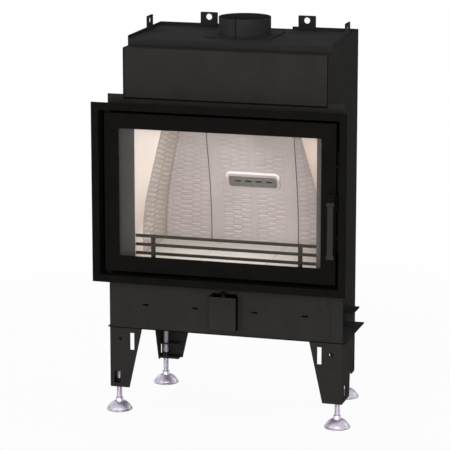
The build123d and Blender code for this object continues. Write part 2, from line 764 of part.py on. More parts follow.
# each pin hangs in its ear by a head and reaches into the bush in the door
pin_reach = bush_height - pin_end_gap
with BuildPart() as hinge_pins:
    for up, ear_far in ((1, door_top_z + hinge_ear_gap + ear_thickness),
                        (-1, door_bottom_z - hinge_ear_gap - ear_thickness)):
        length = ear_thickness + hinge_ear_gap + sheet + pin_reach
        with Locations((pivot_x, pivot_y, ear_far - up * length / 2)):
            Cylinder(pin_diameter / 2, length)
        with Locations((pivot_x, pivot_y, ear_far + up * pin_head_height / 2)):
            Cylinder(pin_head_diameter / 2, pin_head_height)
        collar = hinge_ear_gap - fit_gap
        with Locations((pivot_x, pivot_y, ear_far - up * (ear_thickness + collar / 2))):
            Cylinder(pin_head_diameter / 2, collar)
save(hinge_pins, "hinge_pins")

with BuildPart() as glass_seal:
    with BuildSketch(front(door_front_y + sheet)):
        rect(-glass_x, glass_x, glass_bottom_z, glass_top_z)
        rect(-window_x - tape_margin, window_x + tape_margin, window_bottom_z - tape_margin,
             window_top_z + tape_margin, Mode.SUBTRACT)
    extrude(amount=-glass_tape)
save(glass_seal, "glass_seal")

with BuildPart() as door_glass:
    with BuildSketch(front(door_front_y + sheet + glass_tape)):
        rect(-glass_x, glass_x, glass_bottom_z, glass_top_z)
    extrude(amount=-glass_thickness)
save(door_glass, "door_glass")

# clips: a foot beside the glass on the door's face sheet, and a tongue over the glass
clip_places = []
for z in (window_bottom_z + clip_from_corner, window_top_z - clip_from_corner):
    clip_places += [(-glass_x, z, -1, 0), (glass_x, z, 1, 0)]
clip_places += [(0, glass_bottom_z, 0, -1), (0, glass_top_z, 0, 1)]


def clip_box(place, near, far, y, mode=Mode.ADD):
    """Part of a glass clip between two distances outwards from the glass edge."""
    x, z, right, up = place
    half = clip_width / 2
    if right:
        reach = sorted((x + right * near, x + right * far))
        block(reach, y, (z - half, z + half), mode)
    else:
        reach = sorted((z + up * near, z + up * far))
        block((x - half, x + half), y, reach, mode)


with BuildPart() as glass_clips:
    for place in clip_places:
        clip_box(place, clip_foot_gap, clip_foot_gap + clip_foot, (door_front_y + sheet, glass_back_y))
        clip_box(place, -clip_reach, clip_foot_gap + clip_foot, (glass_back_y, glass_back_y + clip_sheet))
save(glass_clips, "glass_clips")

with BuildPart() as clip_screws:
    with BuildSketch(front(glass_back_y + clip_sheet)):
        for x, z, right, up in clip_places:
            out = clip_foot_gap + clip_foot / 2
            with Locations((x + right * out, z + up * out)):
                Circle(clip_screw_diameter / 2)
    extrude(amount=-clip_screw_height)
save(clip_screws, "clip_screws")

rope_out = seat_bar / 2 + rope_width / 2
with BuildPart() as door_rope:
    with BuildSketch(front(door_back_y)):
        for out, mode in ((rope_out, Mode.ADD), (rope_out - rope_width, Mode.SUBTRACT)):
            rect(-seat_x - out, seat_x + out, seat_inner_bottom_z - out, seat_inner_top_z + out, mode)
    extrude(amount=fit_gap - rope_thickness)
save(door_rope, "door_rope")

# ---------------------------------------------------------------- latch and handle
shaft_r, hub_r = shaft_diameter / 2, hub_diameter / 2
arm_x = shaft_x - hub_r + hook_slot_margin
with BuildPart() as latch_shaft:
    with Locations((shaft_x, shaft_y, latch_z)):
        Cylinder(shaft_r, shaft_length)
save(latch_shaft, "latch_shaft")

with BuildPart() as shaft_bearings:
    for z in bearing_z:
        block((door_x, shaft_x + hub_r), (shaft_y - hub_r, shaft_y + hub_r),
              (z - bearing_height / 2, z + bearing_height / 2))
        with Locations((shaft_x, shaft_y, z)):
            Cylinder(shaft_r + bore_gap, bearing_height, mode=Mode.SUBTRACT)
save(shaft_bearings, "shaft_bearings")

with BuildPart() as latch_hooks:
    for z in hook_z:
        with BuildSketch(Plane.XY.offset(z - hook_height / 2)):
            with Locations((shaft_x, shaft_y)):
                Circle(hub_r)
            rect(arm_x, arm_x + hook_arm, shaft_y, shaft_y + hook_reach)
            rect(arm_x, shaft_x + hook_nose, shaft_y + hook_reach - hook_nose_depth, shaft_y + hook_reach)
            with Locations((shaft_x, shaft_y)):
                Circle(shaft_r, mode=Mode.SUBTRACT)
        extrude(amount=hook_height)
save(latch_hooks, "latch_hooks")

strike_x = shaft_x + hook_nose - strike_inset
strike_y = shaft_y + hook_reach - hook_nose_depth - strike_gap - strike_diameter / 2
strike_left = door_x + strike_clear
strike_right = well_x - strike_gap
ear_y = (strike_y - strike_ear_lap, -seat_depth - strike_ear_lap)
with BuildPart() as strikes:
    for z in hook_z:
        near, far = hook_height / 2 + strike_gap, hook_height / 2 + strike_gap + strike_ear_sheet
        block((seat_outer_x + strike_gap, strike_right), (-seat_depth - strike_ear_lap, 0),
              (z - far, z + far))
        for low in (z + near, z - far):
            block((strike_left, strike_right), ear_y, (low, low + strike_ear_sheet))
        with Locations((strike_x, strike_y, z)):
            Cylinder(strike_diameter / 2, 2 * far)
save(strikes, "strikes")

# flat grip in front of the door, and the arm that goes round its edge to the shaft
handle_right = door_x - handle_inset
handle_left = handle_right - handle_width
handle_back_y = handle_front_y + handle_thickness
with BuildPart() as handle_grip:
    block((handle_left, handle_right), (handle_front_y, handle_back_y), (latch_z - handle_length, latch_z))
    with BuildSketch(Plane.XY.offset(latch_z - arm_height / 2)):
        outline((shaft_x - hub_r, shaft_y), (shaft_x - hub_r, shaft_y - arm_bend),
                (handle_right - arm_lap, handle_back_y), (handle_left, handle_back_y),
                (handle_left, handle_front_y), (handle_right, handle_front_y),
                (shaft_x + hub_r - strike_inset, shaft_y - hub_r), (shaft_x + hub_r, shaft_y))
        with Locations((shaft_x, shaft_y)):
            Circle(hub_r)
            Circle(shaft_r, mode=Mode.SUBTRACT)
    extrude(amount=arm_height)
save(handle_grip, "handle_grip")

# ---------------------------------------------------------------- firebox
with BuildPart() as floor_steel:
    block((-inside_x, inside_x), (sheet, inside_back), (floor_plate_z, floor_top_z))
    block((-duct_width / 2, duct_width / 2), (inside_back - duct_depth, inside_back),
          (floor_plate_z, floor_top_z), Mode.SUBTRACT)
    with BuildSketch(Plane.XY.offset(floor_plate_z)):
        with Locations((0, sheet + sill_depth / 2)):
            with GridLocations(air_slot_pitch, 1, air_slots, 1):
                Rectangle(air_slot_width, sill_depth / 3)
    extrude(amount=floor_plate, mode=Mode.SUBTRACT)
save(floor_steel, "floor_steel")

sill_back = sheet + sill_depth
with BuildPart() as air_sill:
    with BuildSketch(Plane.YZ.offset(-mouth_x)):
        rect(sheet, sill_back, brick_top_z - sheet, brick_top_z)
        rect(sill_back - sheet, sill_back, floor_top_z, brick_top_z)
    extrude(amount=2 * mouth_x)
    with BuildSketch(Plane.XY.offset(brick_top_z - sheet)):
        with Locations((0, sill_back - sill_depth / 4)):
            with GridLocations(air_slot_pitch, 1, 2 * air_slots - 1, 1):
                Rectangle(air_slot_width, sill_depth / 4)
    extrude(amount=sheet, mode=Mode.SUBTRACT)
save(air_sill, "air_sill")

brick_edges = (-inside_x, -brick_width / 2, brick_width / 2, inside_x)
with BuildPart() as hearth_bricks:
    for left, right in zip(brick_edges, brick_edges[1:]):
        trim_left = joint_gap / 2 if left > -inside_x else 0
        trim_right = joint_gap / 2 if right < inside_x else 0
        block((left + trim_left, right - trim_right), (sill_back, lining_back_y + lining_thickness),
              (floor_top_z, brick_top_z))
save(hearth_bricks, "hearth_bricks")

# side lining: a smooth cheek that sweeps back from the mouth, then a ribbed panel to the back
cheek_levels = [brick_top_z, lean_start_z] + [lean_start_z + lean_rise * k / 4 for k in (1, 2, 3, 4)]
cheek_levels += [lining_top_z]
for side, sign in SIDES:
    with BuildPart() as cheek:
        for z in cheek_levels:
            face = lining_side_x - lean(z)
            with BuildSketch(Plane.XY.offset(z)):
                outline((sign * mouth_x, sheet), (sign * face, cheek_y(z)), (sign * inside_x, cheek_y(z)),
                        (sign * inside_x, sheet))
        loft(ruled=True)
    save(cheek, f"lining_cheek_{side}")

    with BuildPart() as side_lining:
        with BuildSketch(front(cheek_top_y)):
            lean_outline(lining_side_x, inside_x)
        extrude(amount=-(lining_back_y + lining_thickness - cheek_top_y))
        with BuildSketch(Plane.YZ):
            outline((0, brick_top_z), (cheek_bottom_y, brick_top_z), (cheek_top_y, lining_top_z),
                    (0, lining_top_z))
        extrude(amount=inside_x, mode=Mode.SUBTRACT)
        if sign < 0:
            mirror(about=Plane.YZ, mode=Mode.REPLACE)
    save(side_lining, f"lining_side_{side}")

# back lining: three panels that curve forward over the fire
half_centre = centre_panel_width / 2
nozzle_plane = Plane(origin=(0, lining_back_y - lean(nozzle_z), nozzle_z), x_dir=(1, 0, 0),
                     z_dir=(0, -math.cos(math.radians(nozzle_lean)), -math.sin(math.radians(nozzle_lean))))
with BuildPart() as back_centre:
    with BuildSketch(Plane.YZ.offset(-half_centre)):
        lean_outline(lining_back_y, None)
    extrude(amount=centre_panel_width)
    with BuildSketch(nozzle_plane.offset(-bead_proud)):
        rect(-nozzle_width / 2 - bead_side, nozzle_width / 2 + bead_side,
             -nozzle_height / 2 - bead_bottom, nozzle_height / 2 + bead_top)
    extrude(amount=2 * bead_proud)
    with BuildSketch(nozzle_plane.offset(-2 * sheet)):
        RectangleRounded(nozzle_width + joint_gap, nozzle_height + joint_gap, nozzle_corner)
    extrude(amount=2 * sheet + 2 * bead_proud, mode=Mode.SUBTRACT)
    block((-spout_width / 2 - fit_gap, spout_width / 2 + fit_gap), (0, casing_depth),
          (spout_low - fit_gap, spout_high + fit_gap), Mode.SUBTRACT)
    bead_corners = back_centre.edges().filter_by(lambda e: abs(e.length - bead_proud) < bead_proud / 2)
    bead_corners = bead_corners.filter_by(lambda e: e.center().Y < lining_back_y - lean(e.center().Z))
    fillet(bead_corners.filter_by(Plane.YZ), bead_proud)
save(back_centre, "lining_back_centre")

for side, sign in SIDES:
    with BuildPart() as back_side:
        with BuildSketch(Plane.YZ.offset(half_centre + joint_gap)):
            lean_outline(lining_back_y, None)
        extrude(amount=lining_side_x - half_centre - joint_gap)
        with BuildSketch(front(0)):
            with BuildLine():
                knee_z = lean_start_z + lean_rise
                middle_z = lean_start_z + lean_radius * math.sin(math.radians(lean_angle / 2))
                gap_x = lining_side_x - fit_gap
                above_z = lining_top_z + lining_thickness
                Polyline((gap_x, 0), (gap_x, lean_start_z))
                ThreePointArc((gap_x, lean_start_z), (gap_x - lean(middle_z), middle_z),
                              (gap_x - lean_shift, knee_z))
                Polyline((gap_x - lean_shift, knee_z), (gap_x - lean(above_z), above_z), (casing_x, above_z),
                         (casing_x, 0), (gap_x, 0))
            make_face()
        extrude(amount=-casing_depth, mode=Mode.SUBTRACT)
        if sign < 0:
            mirror(about=Plane.YZ, mode=Mode.REPLACE)
    save(back_side, f"lining_back_{side}")

with BuildPart() as nozzle_cover:
    with BuildSketch(nozzle_plane.offset(-sheet)):
        RectangleRounded(nozzle_width, nozzle_height, nozzle_corner)
        with GridLocations(nozzle_slot_pitch, 1, nozzle_slots, 1):
            SlotOverall(nozzle_slot_width, nozzle_slot_height, mode=Mode.SUBTRACT)
    extrude(amount=-sheet)
save(nozzle_cover, "nozzle_cover")

# flat duct up the back panel, with a spout to the nozzle
duct_front = inside_back - duct_depth
spout_front = lining_back_y - lean(nozzle_z) + spout_height / 2 * math.tan(math.radians(nozzle_lean))
spout_front += 2 * sheet / math.cos(math.radians(nozzle_lean)) + fit_gap
with BuildPart() as air_duct:
    block((-duct_width / 2, duct_width / 2), (duct_front, inside_back), (duct_bottom_z, spout_high + sheet))
    block((-duct_width / 2 + thin_sheet, duct_width / 2 - thin_sheet), (duct_front + thin_sheet, inside_back),
          (duct_bottom_z, spout_high), Mode.SUBTRACT)
    block((-spout_width / 2, spout_width / 2), (spout_front, duct_front + thin_sheet),
          (spout_low, spout_high))
    block((-spout_width / 2 + thin_sheet, spout_width / 2 - thin_sheet), (spout_front, inside_back),
          (spout_low + thin_sheet, spout_high - thin_sheet), Mode.SUBTRACT)
save(air_duct, "air_duct")

with BuildPart() as lower_baffle_board:
    block((-inside_x + baffle_gap, inside_x - baffle_gap), (lower_baffle_front, inside_back - baffle_gap),
          (lining_top_z, lining_top_z + lower_baffle))
save(lower_baffle_board, "baffle_lower")

with BuildPart() as baffle_rails:
    for side, sign in SIDES:
        block(span(sign, inside_x - rail_width, inside_x), (upper_baffle_front, upper_baffle_end),
              (upper_baffle_z - sheet, upper_baffle_z))
save(baffle_rails, "baffle_rails")

with BuildPart() as upper_baffle_board:
    block((-inside_x + baffle_gap, inside_x - baffle_gap), (upper_baffle_front, upper_baffle_end),
          (upper_baffle_z, upper_baffle_z + upper_baffle))
save(upper_baffle_board, "baffle_upper")

# log guard: three rails on two posts that stand on the sill
with BuildPart() as log_guard:
    for z in guard_bar_z:
        block((-guard_x, guard_x), (guard_y, guard_y + guard_bar),
              (z - guard_bar / 2, z + guard_bar / 2))
    for sign in (-1, 1):
        x = sign * (guard_x - guard_post_inset)
        block((x - guard_post_width / 2, x + guard_post_width / 2),
              (guard_y + guard_bar, guard_y + guard_bar + guard_post_sheet),
              (brick_top_z, guard_bar_z[-1] + guard_bar / 2))
save(log_guard, "log_guard")

# ---------------------------------------------------------------- combustion air
with BuildPart() as air_collar:
    with BuildSketch(Plane.XY.offset(base_z - air_collar_height)):
        with Locations((0, air_collar_y)):
            Circle(air_collar_diameter / 2)
            Circle(air_collar_diameter / 2 - air_collar_wall, mode=Mode.SUBTRACT)
    extrude(amount=air_collar_height)
save(air_collar, "air_collar")

slots_y = (damper_front + damper_end) / 2
with BuildPart() as air_box:
    block((-air_box_width / 2, air_box_width / 2), (sheet, air_back), (air_box_z, floor_plate_z))
    block((-air_box_width / 2 + thin_sheet, air_box_width / 2 - thin_sheet), (sheet, air_back - thin_sheet),
          (air_box_z + thin_sheet, floor_plate_z), Mode.SUBTRACT)
    with BuildSketch(Plane.XY.offset(air_box_z)):
        with Locations((0, slots_y)):
            with GridLocations(air_slot_pitch, 1, air_slots, 1):
                Rectangle(air_slot_width, air_slot_length)
    extrude(amount=thin_sheet, mode=Mode.SUBTRACT)
    block((-air_box_width / 2, air_box_width / 2), (air_back - thin_sheet, air_back), (rail_z, air_box_z))
    block((-air_box_width / 2, air_box_width / 2), (damper_end - damper_lap, air_back), (rail_z, rail_top_z))
save(air_box, "air_box")

with BuildPart() as damper_rail:
    block((-air_box_width / 2, air_box_width / 2), (sheet, damper_front + damper_lap), (rail_z, rail_top_z))
save(damper_rail, "damper_rail")

with BuildPart() as air_damper:
    block((-damper_x, damper_x), (damper_front, damper_end), (damper_z, damper_top_z))
    with BuildSketch(Plane.XY.offset(damper_z)):
        with Locations((0, slots_y)):
            with GridLocations(air_slot_pitch, 1, air_slots - 1, 1):
                Rectangle(air_slot_width, air_slot_length)
    extrude(amount=damper_sheet, mode=Mode.SUBTRACT)
    block((-lever_width / 2, lever_width / 2), (lever_front, damper_front), (damper_z, damper_top_z))
    block((-lever_width / 2, lever_width / 2), (lever_front, lever_front + lever_sheet),
          (damper_z, lever_top_z))
save(air_damper, "air_damper")

with BuildPart() as lever_knob:
    with BuildSketch(Plane.XY.offset(lever_top_z)):
        with Locations((0, lever_front + lever_sheet / 2)):
            Circle(knob_diameter / 2)
    extrude(amount=knob_height)
    fillet(lever_knob.edges().group_by(Axis.Z)[-1], knob_rounding)
save(lever_knob, "lever_knob")

# ---------------------------------------------------------------- covers below the frame
with BuildPart() as lower_cover:
    with BuildSketch(front(-lower_cover_sheet)):
        rect(-lower_cover_x, lower_cover_x, lower_cover_bottom_z, lower_cover_top_z)
        rect(-lever_window_width / 2, lever_window_width / 2, lever_window_bottom_z, lever_window_top_z,
             Mode.SUBTRACT)
        with Locations(*cover_slots):
            Rectangle(cover_slot_width, cover_slot_height, mode=Mode.SUBTRACT)
        rect(lower_cover_x - slit_inset - slit_width, lower_cover_x - slit_inset, base_z + slit_rise,
             base_z + slit_rise + slit_height, Mode.SUBTRACT)
    extrude(amount=-lower_cover_sheet)
save(lower_cover, "lower_cover")

cover_front_y = -lower_cover_sheet
with BuildPart() as lever_box:
    block((-box_x, box_x), (-box_proud, cover_front_y), (box_bottom_z, box_top_z))
    block((-box_x + thin_sheet, box_x - thin_sheet), (-box_proud + thin_sheet, cover_front_y),
          (box_bottom_z + thin_sheet, box_top_z), Mode.SUBTRACT)
    for side, sign in SIDES:
        block(span(sign, box_x - thin_sheet, box_x + box_flange), (cover_front_y - thin_sheet, cover_front_y),
              (box_bottom_z, box_top_z))
save(lever_box, "lever_box")
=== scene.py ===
import math

import bmesh
import bpy
import numpy as np
from bpy.props import FloatProperty, FloatVectorProperty, IntProperty, PointerProperty
from bpy.types import Operator, Panel, PropertyGroup
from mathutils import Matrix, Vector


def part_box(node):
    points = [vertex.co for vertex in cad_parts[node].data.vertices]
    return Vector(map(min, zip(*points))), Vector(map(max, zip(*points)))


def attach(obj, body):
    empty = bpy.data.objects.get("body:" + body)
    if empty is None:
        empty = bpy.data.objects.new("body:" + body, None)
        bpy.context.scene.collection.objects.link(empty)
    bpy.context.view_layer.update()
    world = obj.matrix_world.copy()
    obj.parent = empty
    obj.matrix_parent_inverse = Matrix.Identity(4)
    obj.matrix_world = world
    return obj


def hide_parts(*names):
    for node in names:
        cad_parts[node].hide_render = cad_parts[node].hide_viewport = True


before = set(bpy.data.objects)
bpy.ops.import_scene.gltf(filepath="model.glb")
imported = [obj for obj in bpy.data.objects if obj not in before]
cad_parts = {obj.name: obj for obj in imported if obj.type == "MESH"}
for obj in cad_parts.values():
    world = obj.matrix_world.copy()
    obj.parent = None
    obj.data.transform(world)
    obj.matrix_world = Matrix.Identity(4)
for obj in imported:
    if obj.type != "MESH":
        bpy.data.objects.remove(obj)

bl_info = {
    "name": "Fireplace insert",
    "version": (1, 0, 0),
    "blender": (4, 5, 0),
    "location": "3D View > Sidebar > Insert",
    "description": "Dresses the packed frame of a wood burning fireplace insert",
    "category": "Add Mesh",
}

MM = 0.001
SIDES = (("left", -1), ("right", 1))
CORNERS = [f"{end}_{side}" for end in ("front", "rear") for side, _ in SIDES]
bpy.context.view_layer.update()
FINISHES = {}

# ---- places taken from the frame
PLATE_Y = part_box("front_plate")[0].y            # front face of the front plate
MOUTH_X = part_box("air_sill")[1].x
INSIDE_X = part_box("lining_side_right")[1].x     # inner face of the casing's wall
HEARTH_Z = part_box("hearth_bricks")[1].z
LINING_TOP_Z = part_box("lining_side_right")[1].z
LINING_BACK_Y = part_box("lining_back_centre")[1].y
CENTRE_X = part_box("lining_back_centre")[1].x    # half the width of the back lining's middle panel

# ---- the lining's shape, in metres
LINING_THICKNESS = 22 * MM
LINING_FACE_Y = LINING_BACK_Y - LINING_THICKNESS
SIDE_FACE_X = 280 * MM                          # face of the side lining at the hearth
SIDE_WIDTH = 222 * MM                           # width over which the side lining's pattern is laid out
LEAN_START = 20 * MM                            # height above the hearth where the lining starts to lean
LEAN_RADIUS = 734 * MM
LEAN_ANGLE = math.radians(15)
KNEE_RISE = LEAN_START + LEAN_RADIUS * math.sin(LEAN_ANGLE)     # where the arc ends
LINING_LENGTH = (LEAN_START + LEAN_RADIUS * LEAN_ANGLE          # along the face, from the hearth to the top
                 + (LINING_TOP_Z - HEARTH_Z - KNEE_RISE) / math.cos(LEAN_ANGLE))
CHEEK_BOTTOM_Y = PLATE_Y + 106 * MM             # joint between cheek and side lining, at the hearth
CHEEK_TOP_Y = PLATE_Y + 56 * MM                 # and at the lining's top
CHEEK_MOUTH_Y = PLATE_Y + 3 * MM
NOZZLE_HALF_X = 73 * MM
NOZZLE_HALF_Z = 16 * MM
NOZZLE_SINK = 14 * MM                           # depth of the sink for the nozzle's cover
JOINT = 1.5 * MM
PLAIN_EDGE = 6 * MM                             # strip without pattern at the lining's top and bottom
LONGEST_QUAD = 12 * MM
TINY = 1e-9


# ---- mesh helpers
def linear(hex_colour):
    """Linear RGBA of an sRGB colour written as six hex digits."""
    parts = [int(hex_colour[k:k + 2], 16) / 255 for k in (0, 2, 4)]
    return [p / 12.92 if p <= 0.04045 else ((p + 0.055) / 1.055) ** 2.4 for p in parts] + [1.0]


def angles(steps):
    """Equal steps round a full turn."""
    return np.linspace(0, 2 * math.pi, steps, endpoint=False)


def soft_box(steps, power):
    """X and y round a box of half side one with soft corners, where |x| ** power + |y| ** power = 1."""
    x, y = np.cos(angles(steps)), np.sin(angles(steps))
    out = (np.abs(x) ** power + np.abs(y) ** power) ** (-1 / power)
    return x * out, y * out


def turned(radius, height, centre, steps):
    """Points at each radius and height, a column or a grid of steps each, round the vertical through centre."""
    turn = angles(steps)
    return np.stack([centre[0] + radius * np.cos(turn), centre[1] + radius * np.sin(turn),
                     centre[2] + height + 0 * turn], -1)


def grid_faces(rows, columns, wrap_rows=False, wrap_columns=False):
    """Quads of a grid of rows x columns points numbered row by row; a wrapped way joins its last to its first."""
    r = np.arange(rows if wrap_rows else rows - 1)[:, None]
    c = np.arange(columns if wrap_columns else columns - 1)[None, :]
    r2, c2 = (r + 1) % rows, (c + 1) % columns
    quads = np.stack([r * columns + c, r * columns + c2, r2 * columns + c2, r2 * columns + c], -1)
    return quads.reshape(-1, 4)


def closed_tube_faces(rings, steps):
    """Faces of a tube of rings, with one many-sided face over each end."""
    faces = grid_faces(rings, steps, wrap_columns=True).tolist()
    faces.append(list(range(steps))[::-1])
    faces.append(list(range((rings - 1) * steps, rings * steps)))
    return faces


def slab(front, back):
    """Closed shell between two equal grids of points: both grids, and four strips round their edges."""
    rows, columns = front.shape[:2]
    face = grid_faces(rows, columns)
    lift = rows * columns
    index = np.arange(lift).reshape(rows, columns)
    rim = np.concatenate([index[0, :-1], index[:-1, -1], index[-1, :0:-1], index[:0:-1, 0]])
    after = np.roll(rim, -1)
    strip = np.stack([rim, after, after + lift, rim + lift], -1)
    points = np.concatenate([front.reshape(-1, 3), back.reshape(-1, 3)])
    return points, np.concatenate([face, face[:, ::-1] + lift, strip]).tolist()


def joined(shells):
    """Points and faces of several shells, each given by its own, as one."""
    points, faces, lift = [], [], 0
    for own_points, own_faces in shells:
        points.append(own_points.reshape(-1, 3))
        faces += [[v + lift for v in face] for face in own_faces]
        lift += len(points[-1])
    return np.concatenate(points), faces


def dressed(mesh, sharp, body, node):
    """New object of the mesh at the origin, smooth but for edges sharper than so many degrees.

    It rides on its body, and takes the place of a node of the frame where one is given."""
    mesh.polygons.foreach_set("use_smooth", np.ones(len(mesh.polygons), bool))
    mesh.set_sharp_from_angle(angle=math.radians(sharp))
    made = bpy.data.objects.new(mesh.name, mesh)
    bpy.context.scene.collection.objects.link(made)
    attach(made, body)
    if node:
        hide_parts(node)
    return made


def piece(name, points, faces, finish, slot, node=None, sharp=30, marks=None, body="casing"):
    """New closed shell of points and lists of their numbers, with an attribute of the points for each mark."""
    mesh = bpy.data.meshes.new(name)
    mesh.from_pydata(points.reshape(-1, 3).tolist(), [], faces)
    for key, values in (marks or {}).items():
        layer = mesh.attributes.new(key, "FLOAT", "POINT")
        layer.data.foreach_set("value", np.asarray(values, np.float32).ravel())
    shell = bmesh.new()
    shell.from_mesh(mesh)
    bmesh.ops.recalc_face_normals(shell, faces=shell.faces)
    shell.to_mesh(mesh)
    shell.free()
    mesh.materials.append(FINISHES[finish])
    dressed(mesh, sharp, body, node)


def rounded(node, finish, width=0.8, segments=2, other=None, way=(0, 0, 1), body="casing"):
    """The node's own surface in whole faces, with every sharp edge rounded off to width, in millimetres.

    Faces that look the given way, or else up, get the other finish, where there is one."""
    shell = bmesh.new()
    shell.from_mesh(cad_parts[node].data)
    bmesh.ops.remove_doubles(shell, verts=shell.verts, dist=0.01 * MM)
    bmesh.ops.dissolve_limit(shell, angle_limit=math.radians(1), verts=shell.verts, edges=shell.edges)
    mesh = bpy.data.meshes.new(node + "_rounded")
    shell.to_mesh(mesh)
    shell.free()
    layer = mesh.attributes.get("custom_normal")
    if layer:
        mesh.attributes.remove(layer)
    mesh.materials.append(FINISHES[finish])
    if other:
        mesh.materials.append(FINISHES[other])
        normals = np.zeros(3 * len(mesh.polygons))
        mesh.polygons.foreach_get("normal", normals)
        towards = normals.reshape(-1, 3) @ np.array(way, float)
        mesh.polygons.foreach_set("material_index", (towards > 0.5).astype(np.int32))
    made = dressed(mesh, 30, body, node)
    edge = made.modifiers.new("edge", "BEVEL")
    edge.width, edge.segments = width * MM, segments
    edge.limit_method, edge.angle_limit = "ANGLE", math.radians(30)
    edge.use_clamp_overlap = edge.harden_normals = True
    return made


def paint_shade_patch(made, finish, low, high):
    """Give the piece's faces between two corners, seen from the front, the finish, cut at the corners' planes: a patch
    of painted shade.
    """
    shell = bmesh.new()
    shell.from_mesh(made.data)
    for axis in (0, 2):
        way = [0, 0, 0]
        way[axis] = 1
        for corner in (low, high):
            bmesh.ops.bisect_plane(shell, geom=shell.verts[:] + shell.edges[:] + shell.faces[:],
                                   plane_co=[corner[axis] * w for w in way], plane_no=way)
    for face in shell.faces:
        middle = face.calc_center_median()
        if all(low[axis] < middle[axis] < high[axis] for axis in (0, 2)):
            face.material_index = 1
    shell.to_mesh(made.data)
    shell.free()
    made.data.materials.append(FINISHES[finish])


# ---- material helpers
def fill(tree, node, sockets):
    """Give each of a node's sockets its value, a colour as six hex digits, or link it to an output."""
    for key, value in sockets.items():
        if isinstance(value, bpy.types.NodeSocket):
            tree.links.new(value, node.inputs[key])
        else:
            node.inputs[key].default_value = linear(value) if isinstance(value, str) else value


def add(tree, kind, sockets=None, **settings):
    """Add a shader node: settings are its own properties, sockets its inputs."""
    node = tree.nodes.new("ShaderNode" + kind)
    for key, value in settings.items():
        setattr(node, key, value)
    fill(tree, node, sockets or {})
    return node


def emptied(owner):
    """Node tree of a material or a world, without nodes."""
    owner.use_nodes = True
    owner.node_tree.nodes.clear()
    return owner.node_tree


def new_finish(name):
    """Node tree and shader of a new material, which FINISHES holds under its name."""
    FINISHES[name] = bpy.data.materials.new(name)
    tree = emptied(FINISHES[name])
    shader = add(tree, "BsdfPrincipled")
    add(tree, "OutputMaterial", {"Surface": shader.outputs[0]})
    return tree, shader


def place_on(tree):
    """Place on the piece: its Object coordinates."""
    return add(tree, "TexCoord").outputs["Object"]


def mark_of(tree, name):
    """The points' attribute of that name."""
    return add(tree, "Attribute", attribute_name=name).outputs["Fac"]


def math_node(tree, operation, *values, clamp=False):
    """Result of a Math node."""
    return add(tree, "Math", dict(enumerate(values)), operation=operation, use_clamp=clamp).outputs[0]


def ranged(tree, value, low, high, to_low=0, to_high=1):
    """Value moved from one range to another, clamped."""
    return add(tree, "MapRange", {"Value": value, "From Min": low, "From Max": high, "To Min": to_low,
                                  "To Max": to_high}).outputs["Result"]


def noise(tree, size_mm, detail=3.0, roughness=0.55):
    """Noise whose blobs are about size_mm across."""
    return add(tree, "TexNoise", {"Vector": place_on(tree), "Scale": 1 / (size_mm * MM), "Detail": detail,
                                  "Roughness": roughness}).outputs["Fac"]


def clouds(tree, size_mm, detail=3.0, to_low=0, to_high=1, half=0.2):
    """Noise from 0.5 - half to 0.5 + half moved to another range, clamped."""
    return ranged(tree, noise(tree, size_mm, detail), 0.5 - half, 0.5 + half, to_low, to_high)


def mixed(tree, share, first, second):
    """Mix of two colours by share."""
    return add(tree, "Mix", {0: share, 6: first, 7: second}, data_type="RGBA").outputs[2]


def bumped(tree, height, depth_mm):
    """Normal bent by height, depth_mm deep."""
    return add(tree, "Bump", {"Height": height, "Distance": depth_mm * MM, "Strength": 1.0}).outputs[0]


def sprayed_paint(name, dark, light, roughness, specular, seam=False):
    """Heat-proof silicone paint sprayed on sheet steel: soft clouds where the coat is thin, and orange peel.

    The peel of the real coat is about 0.5 mm across; here it is a few times coarser, or it would not show."""
    tree, shader = new_finish(name)
    colour = mixed(tree, clouds(tree, 70, 4), dark, light)
    # a painted shadow line along the flue collar's lap, where the seam mark lies
    if seam:
        colour = mixed(tree, mark_of(tree, "seam"), colour, "0a0a0a")
    fill(tree, shader, {"Base Color": colour, "Specular IOR Level": specular,
                        "Roughness": clouds(tree, 25, 2, roughness - 0.05, roughness + 0.05),
                        "Normal": bumped(tree, noise(tree, 2.5, 2), 0.06)})


def rolled_steel(name, dark, light, roughness, metallic=1.0, grain=(220.0, 6.0)):
    """Bare sheet steel: fine lines left by the rollers, across which the light stretches."""
    tree, shader = new_finish(name)
    stretched = add(tree, "Mapping", {"Vector": place_on(tree), "Scale": (grain[1], grain[1], grain[0])})
    lines = add(tree, "TexNoise", {"Vector": stretched.outputs[0], "Scale": 3.0, "Detail": 3.0}).outputs["Fac"]
    fill(tree, shader, {"Base Color": mixed(tree, ranged(tree, lines, 0.3, 0.7), dark, light),
                        "Metallic": metallic,
                        "Roughness": clouds(tree, 20, 3, roughness - 0.06, roughness + 0.06),
                        "Normal": bumped(tree, lines, 0.03)})


def pressed_fireclay(name, pale, warm, grain_mm=3.0, depth_mm=0.35, groove_shade=0.12, lip_highlight=0.5):
    """Dry-pressed fireclay: chalky, without gloss, mottled, with coarse grains.

    The last two arguments say how much painted shade darkens the bottoms of its grooves, and how much painted highlight
    whitens their lower lips, where light from above catches them."""
    tree, shader = new_finish(name)
    speck = ranged(tree, noise(tree, grain_mm, 2, 0.7), 0.35, 0.65)
    colour = mixed(tree, clouds(tree, 90, 4), pale, warm)
    colour = mixed(tree, ranged(tree, speck, 0, 1, 0, 0.16), colour, "8d817b")
    # Painted shade at the grooves' bottoms, painted highlight on their lower lips and on the nozzle's bead, and painted
    # shade in the gaps between panels and in the nozzle's sink
    for mark, most, shade in (("groove", groove_shade, "86766f"), ("lit_lip", lip_highlight, "f2e9e4"), ("bead", 1.0, "fff6f3"),
                              ("joint", 1.0, "2a2422")):
        colour = mixed(tree, ranged(tree, mark_of(tree, mark), 0, 1, 0, most), colour, shade)
    fill(tree, shader, {"Base Color": colour, "Roughness": 0.9, "Specular IOR Level": 0.2,
                        "Normal": bumped(tree, speck, depth_mm)})


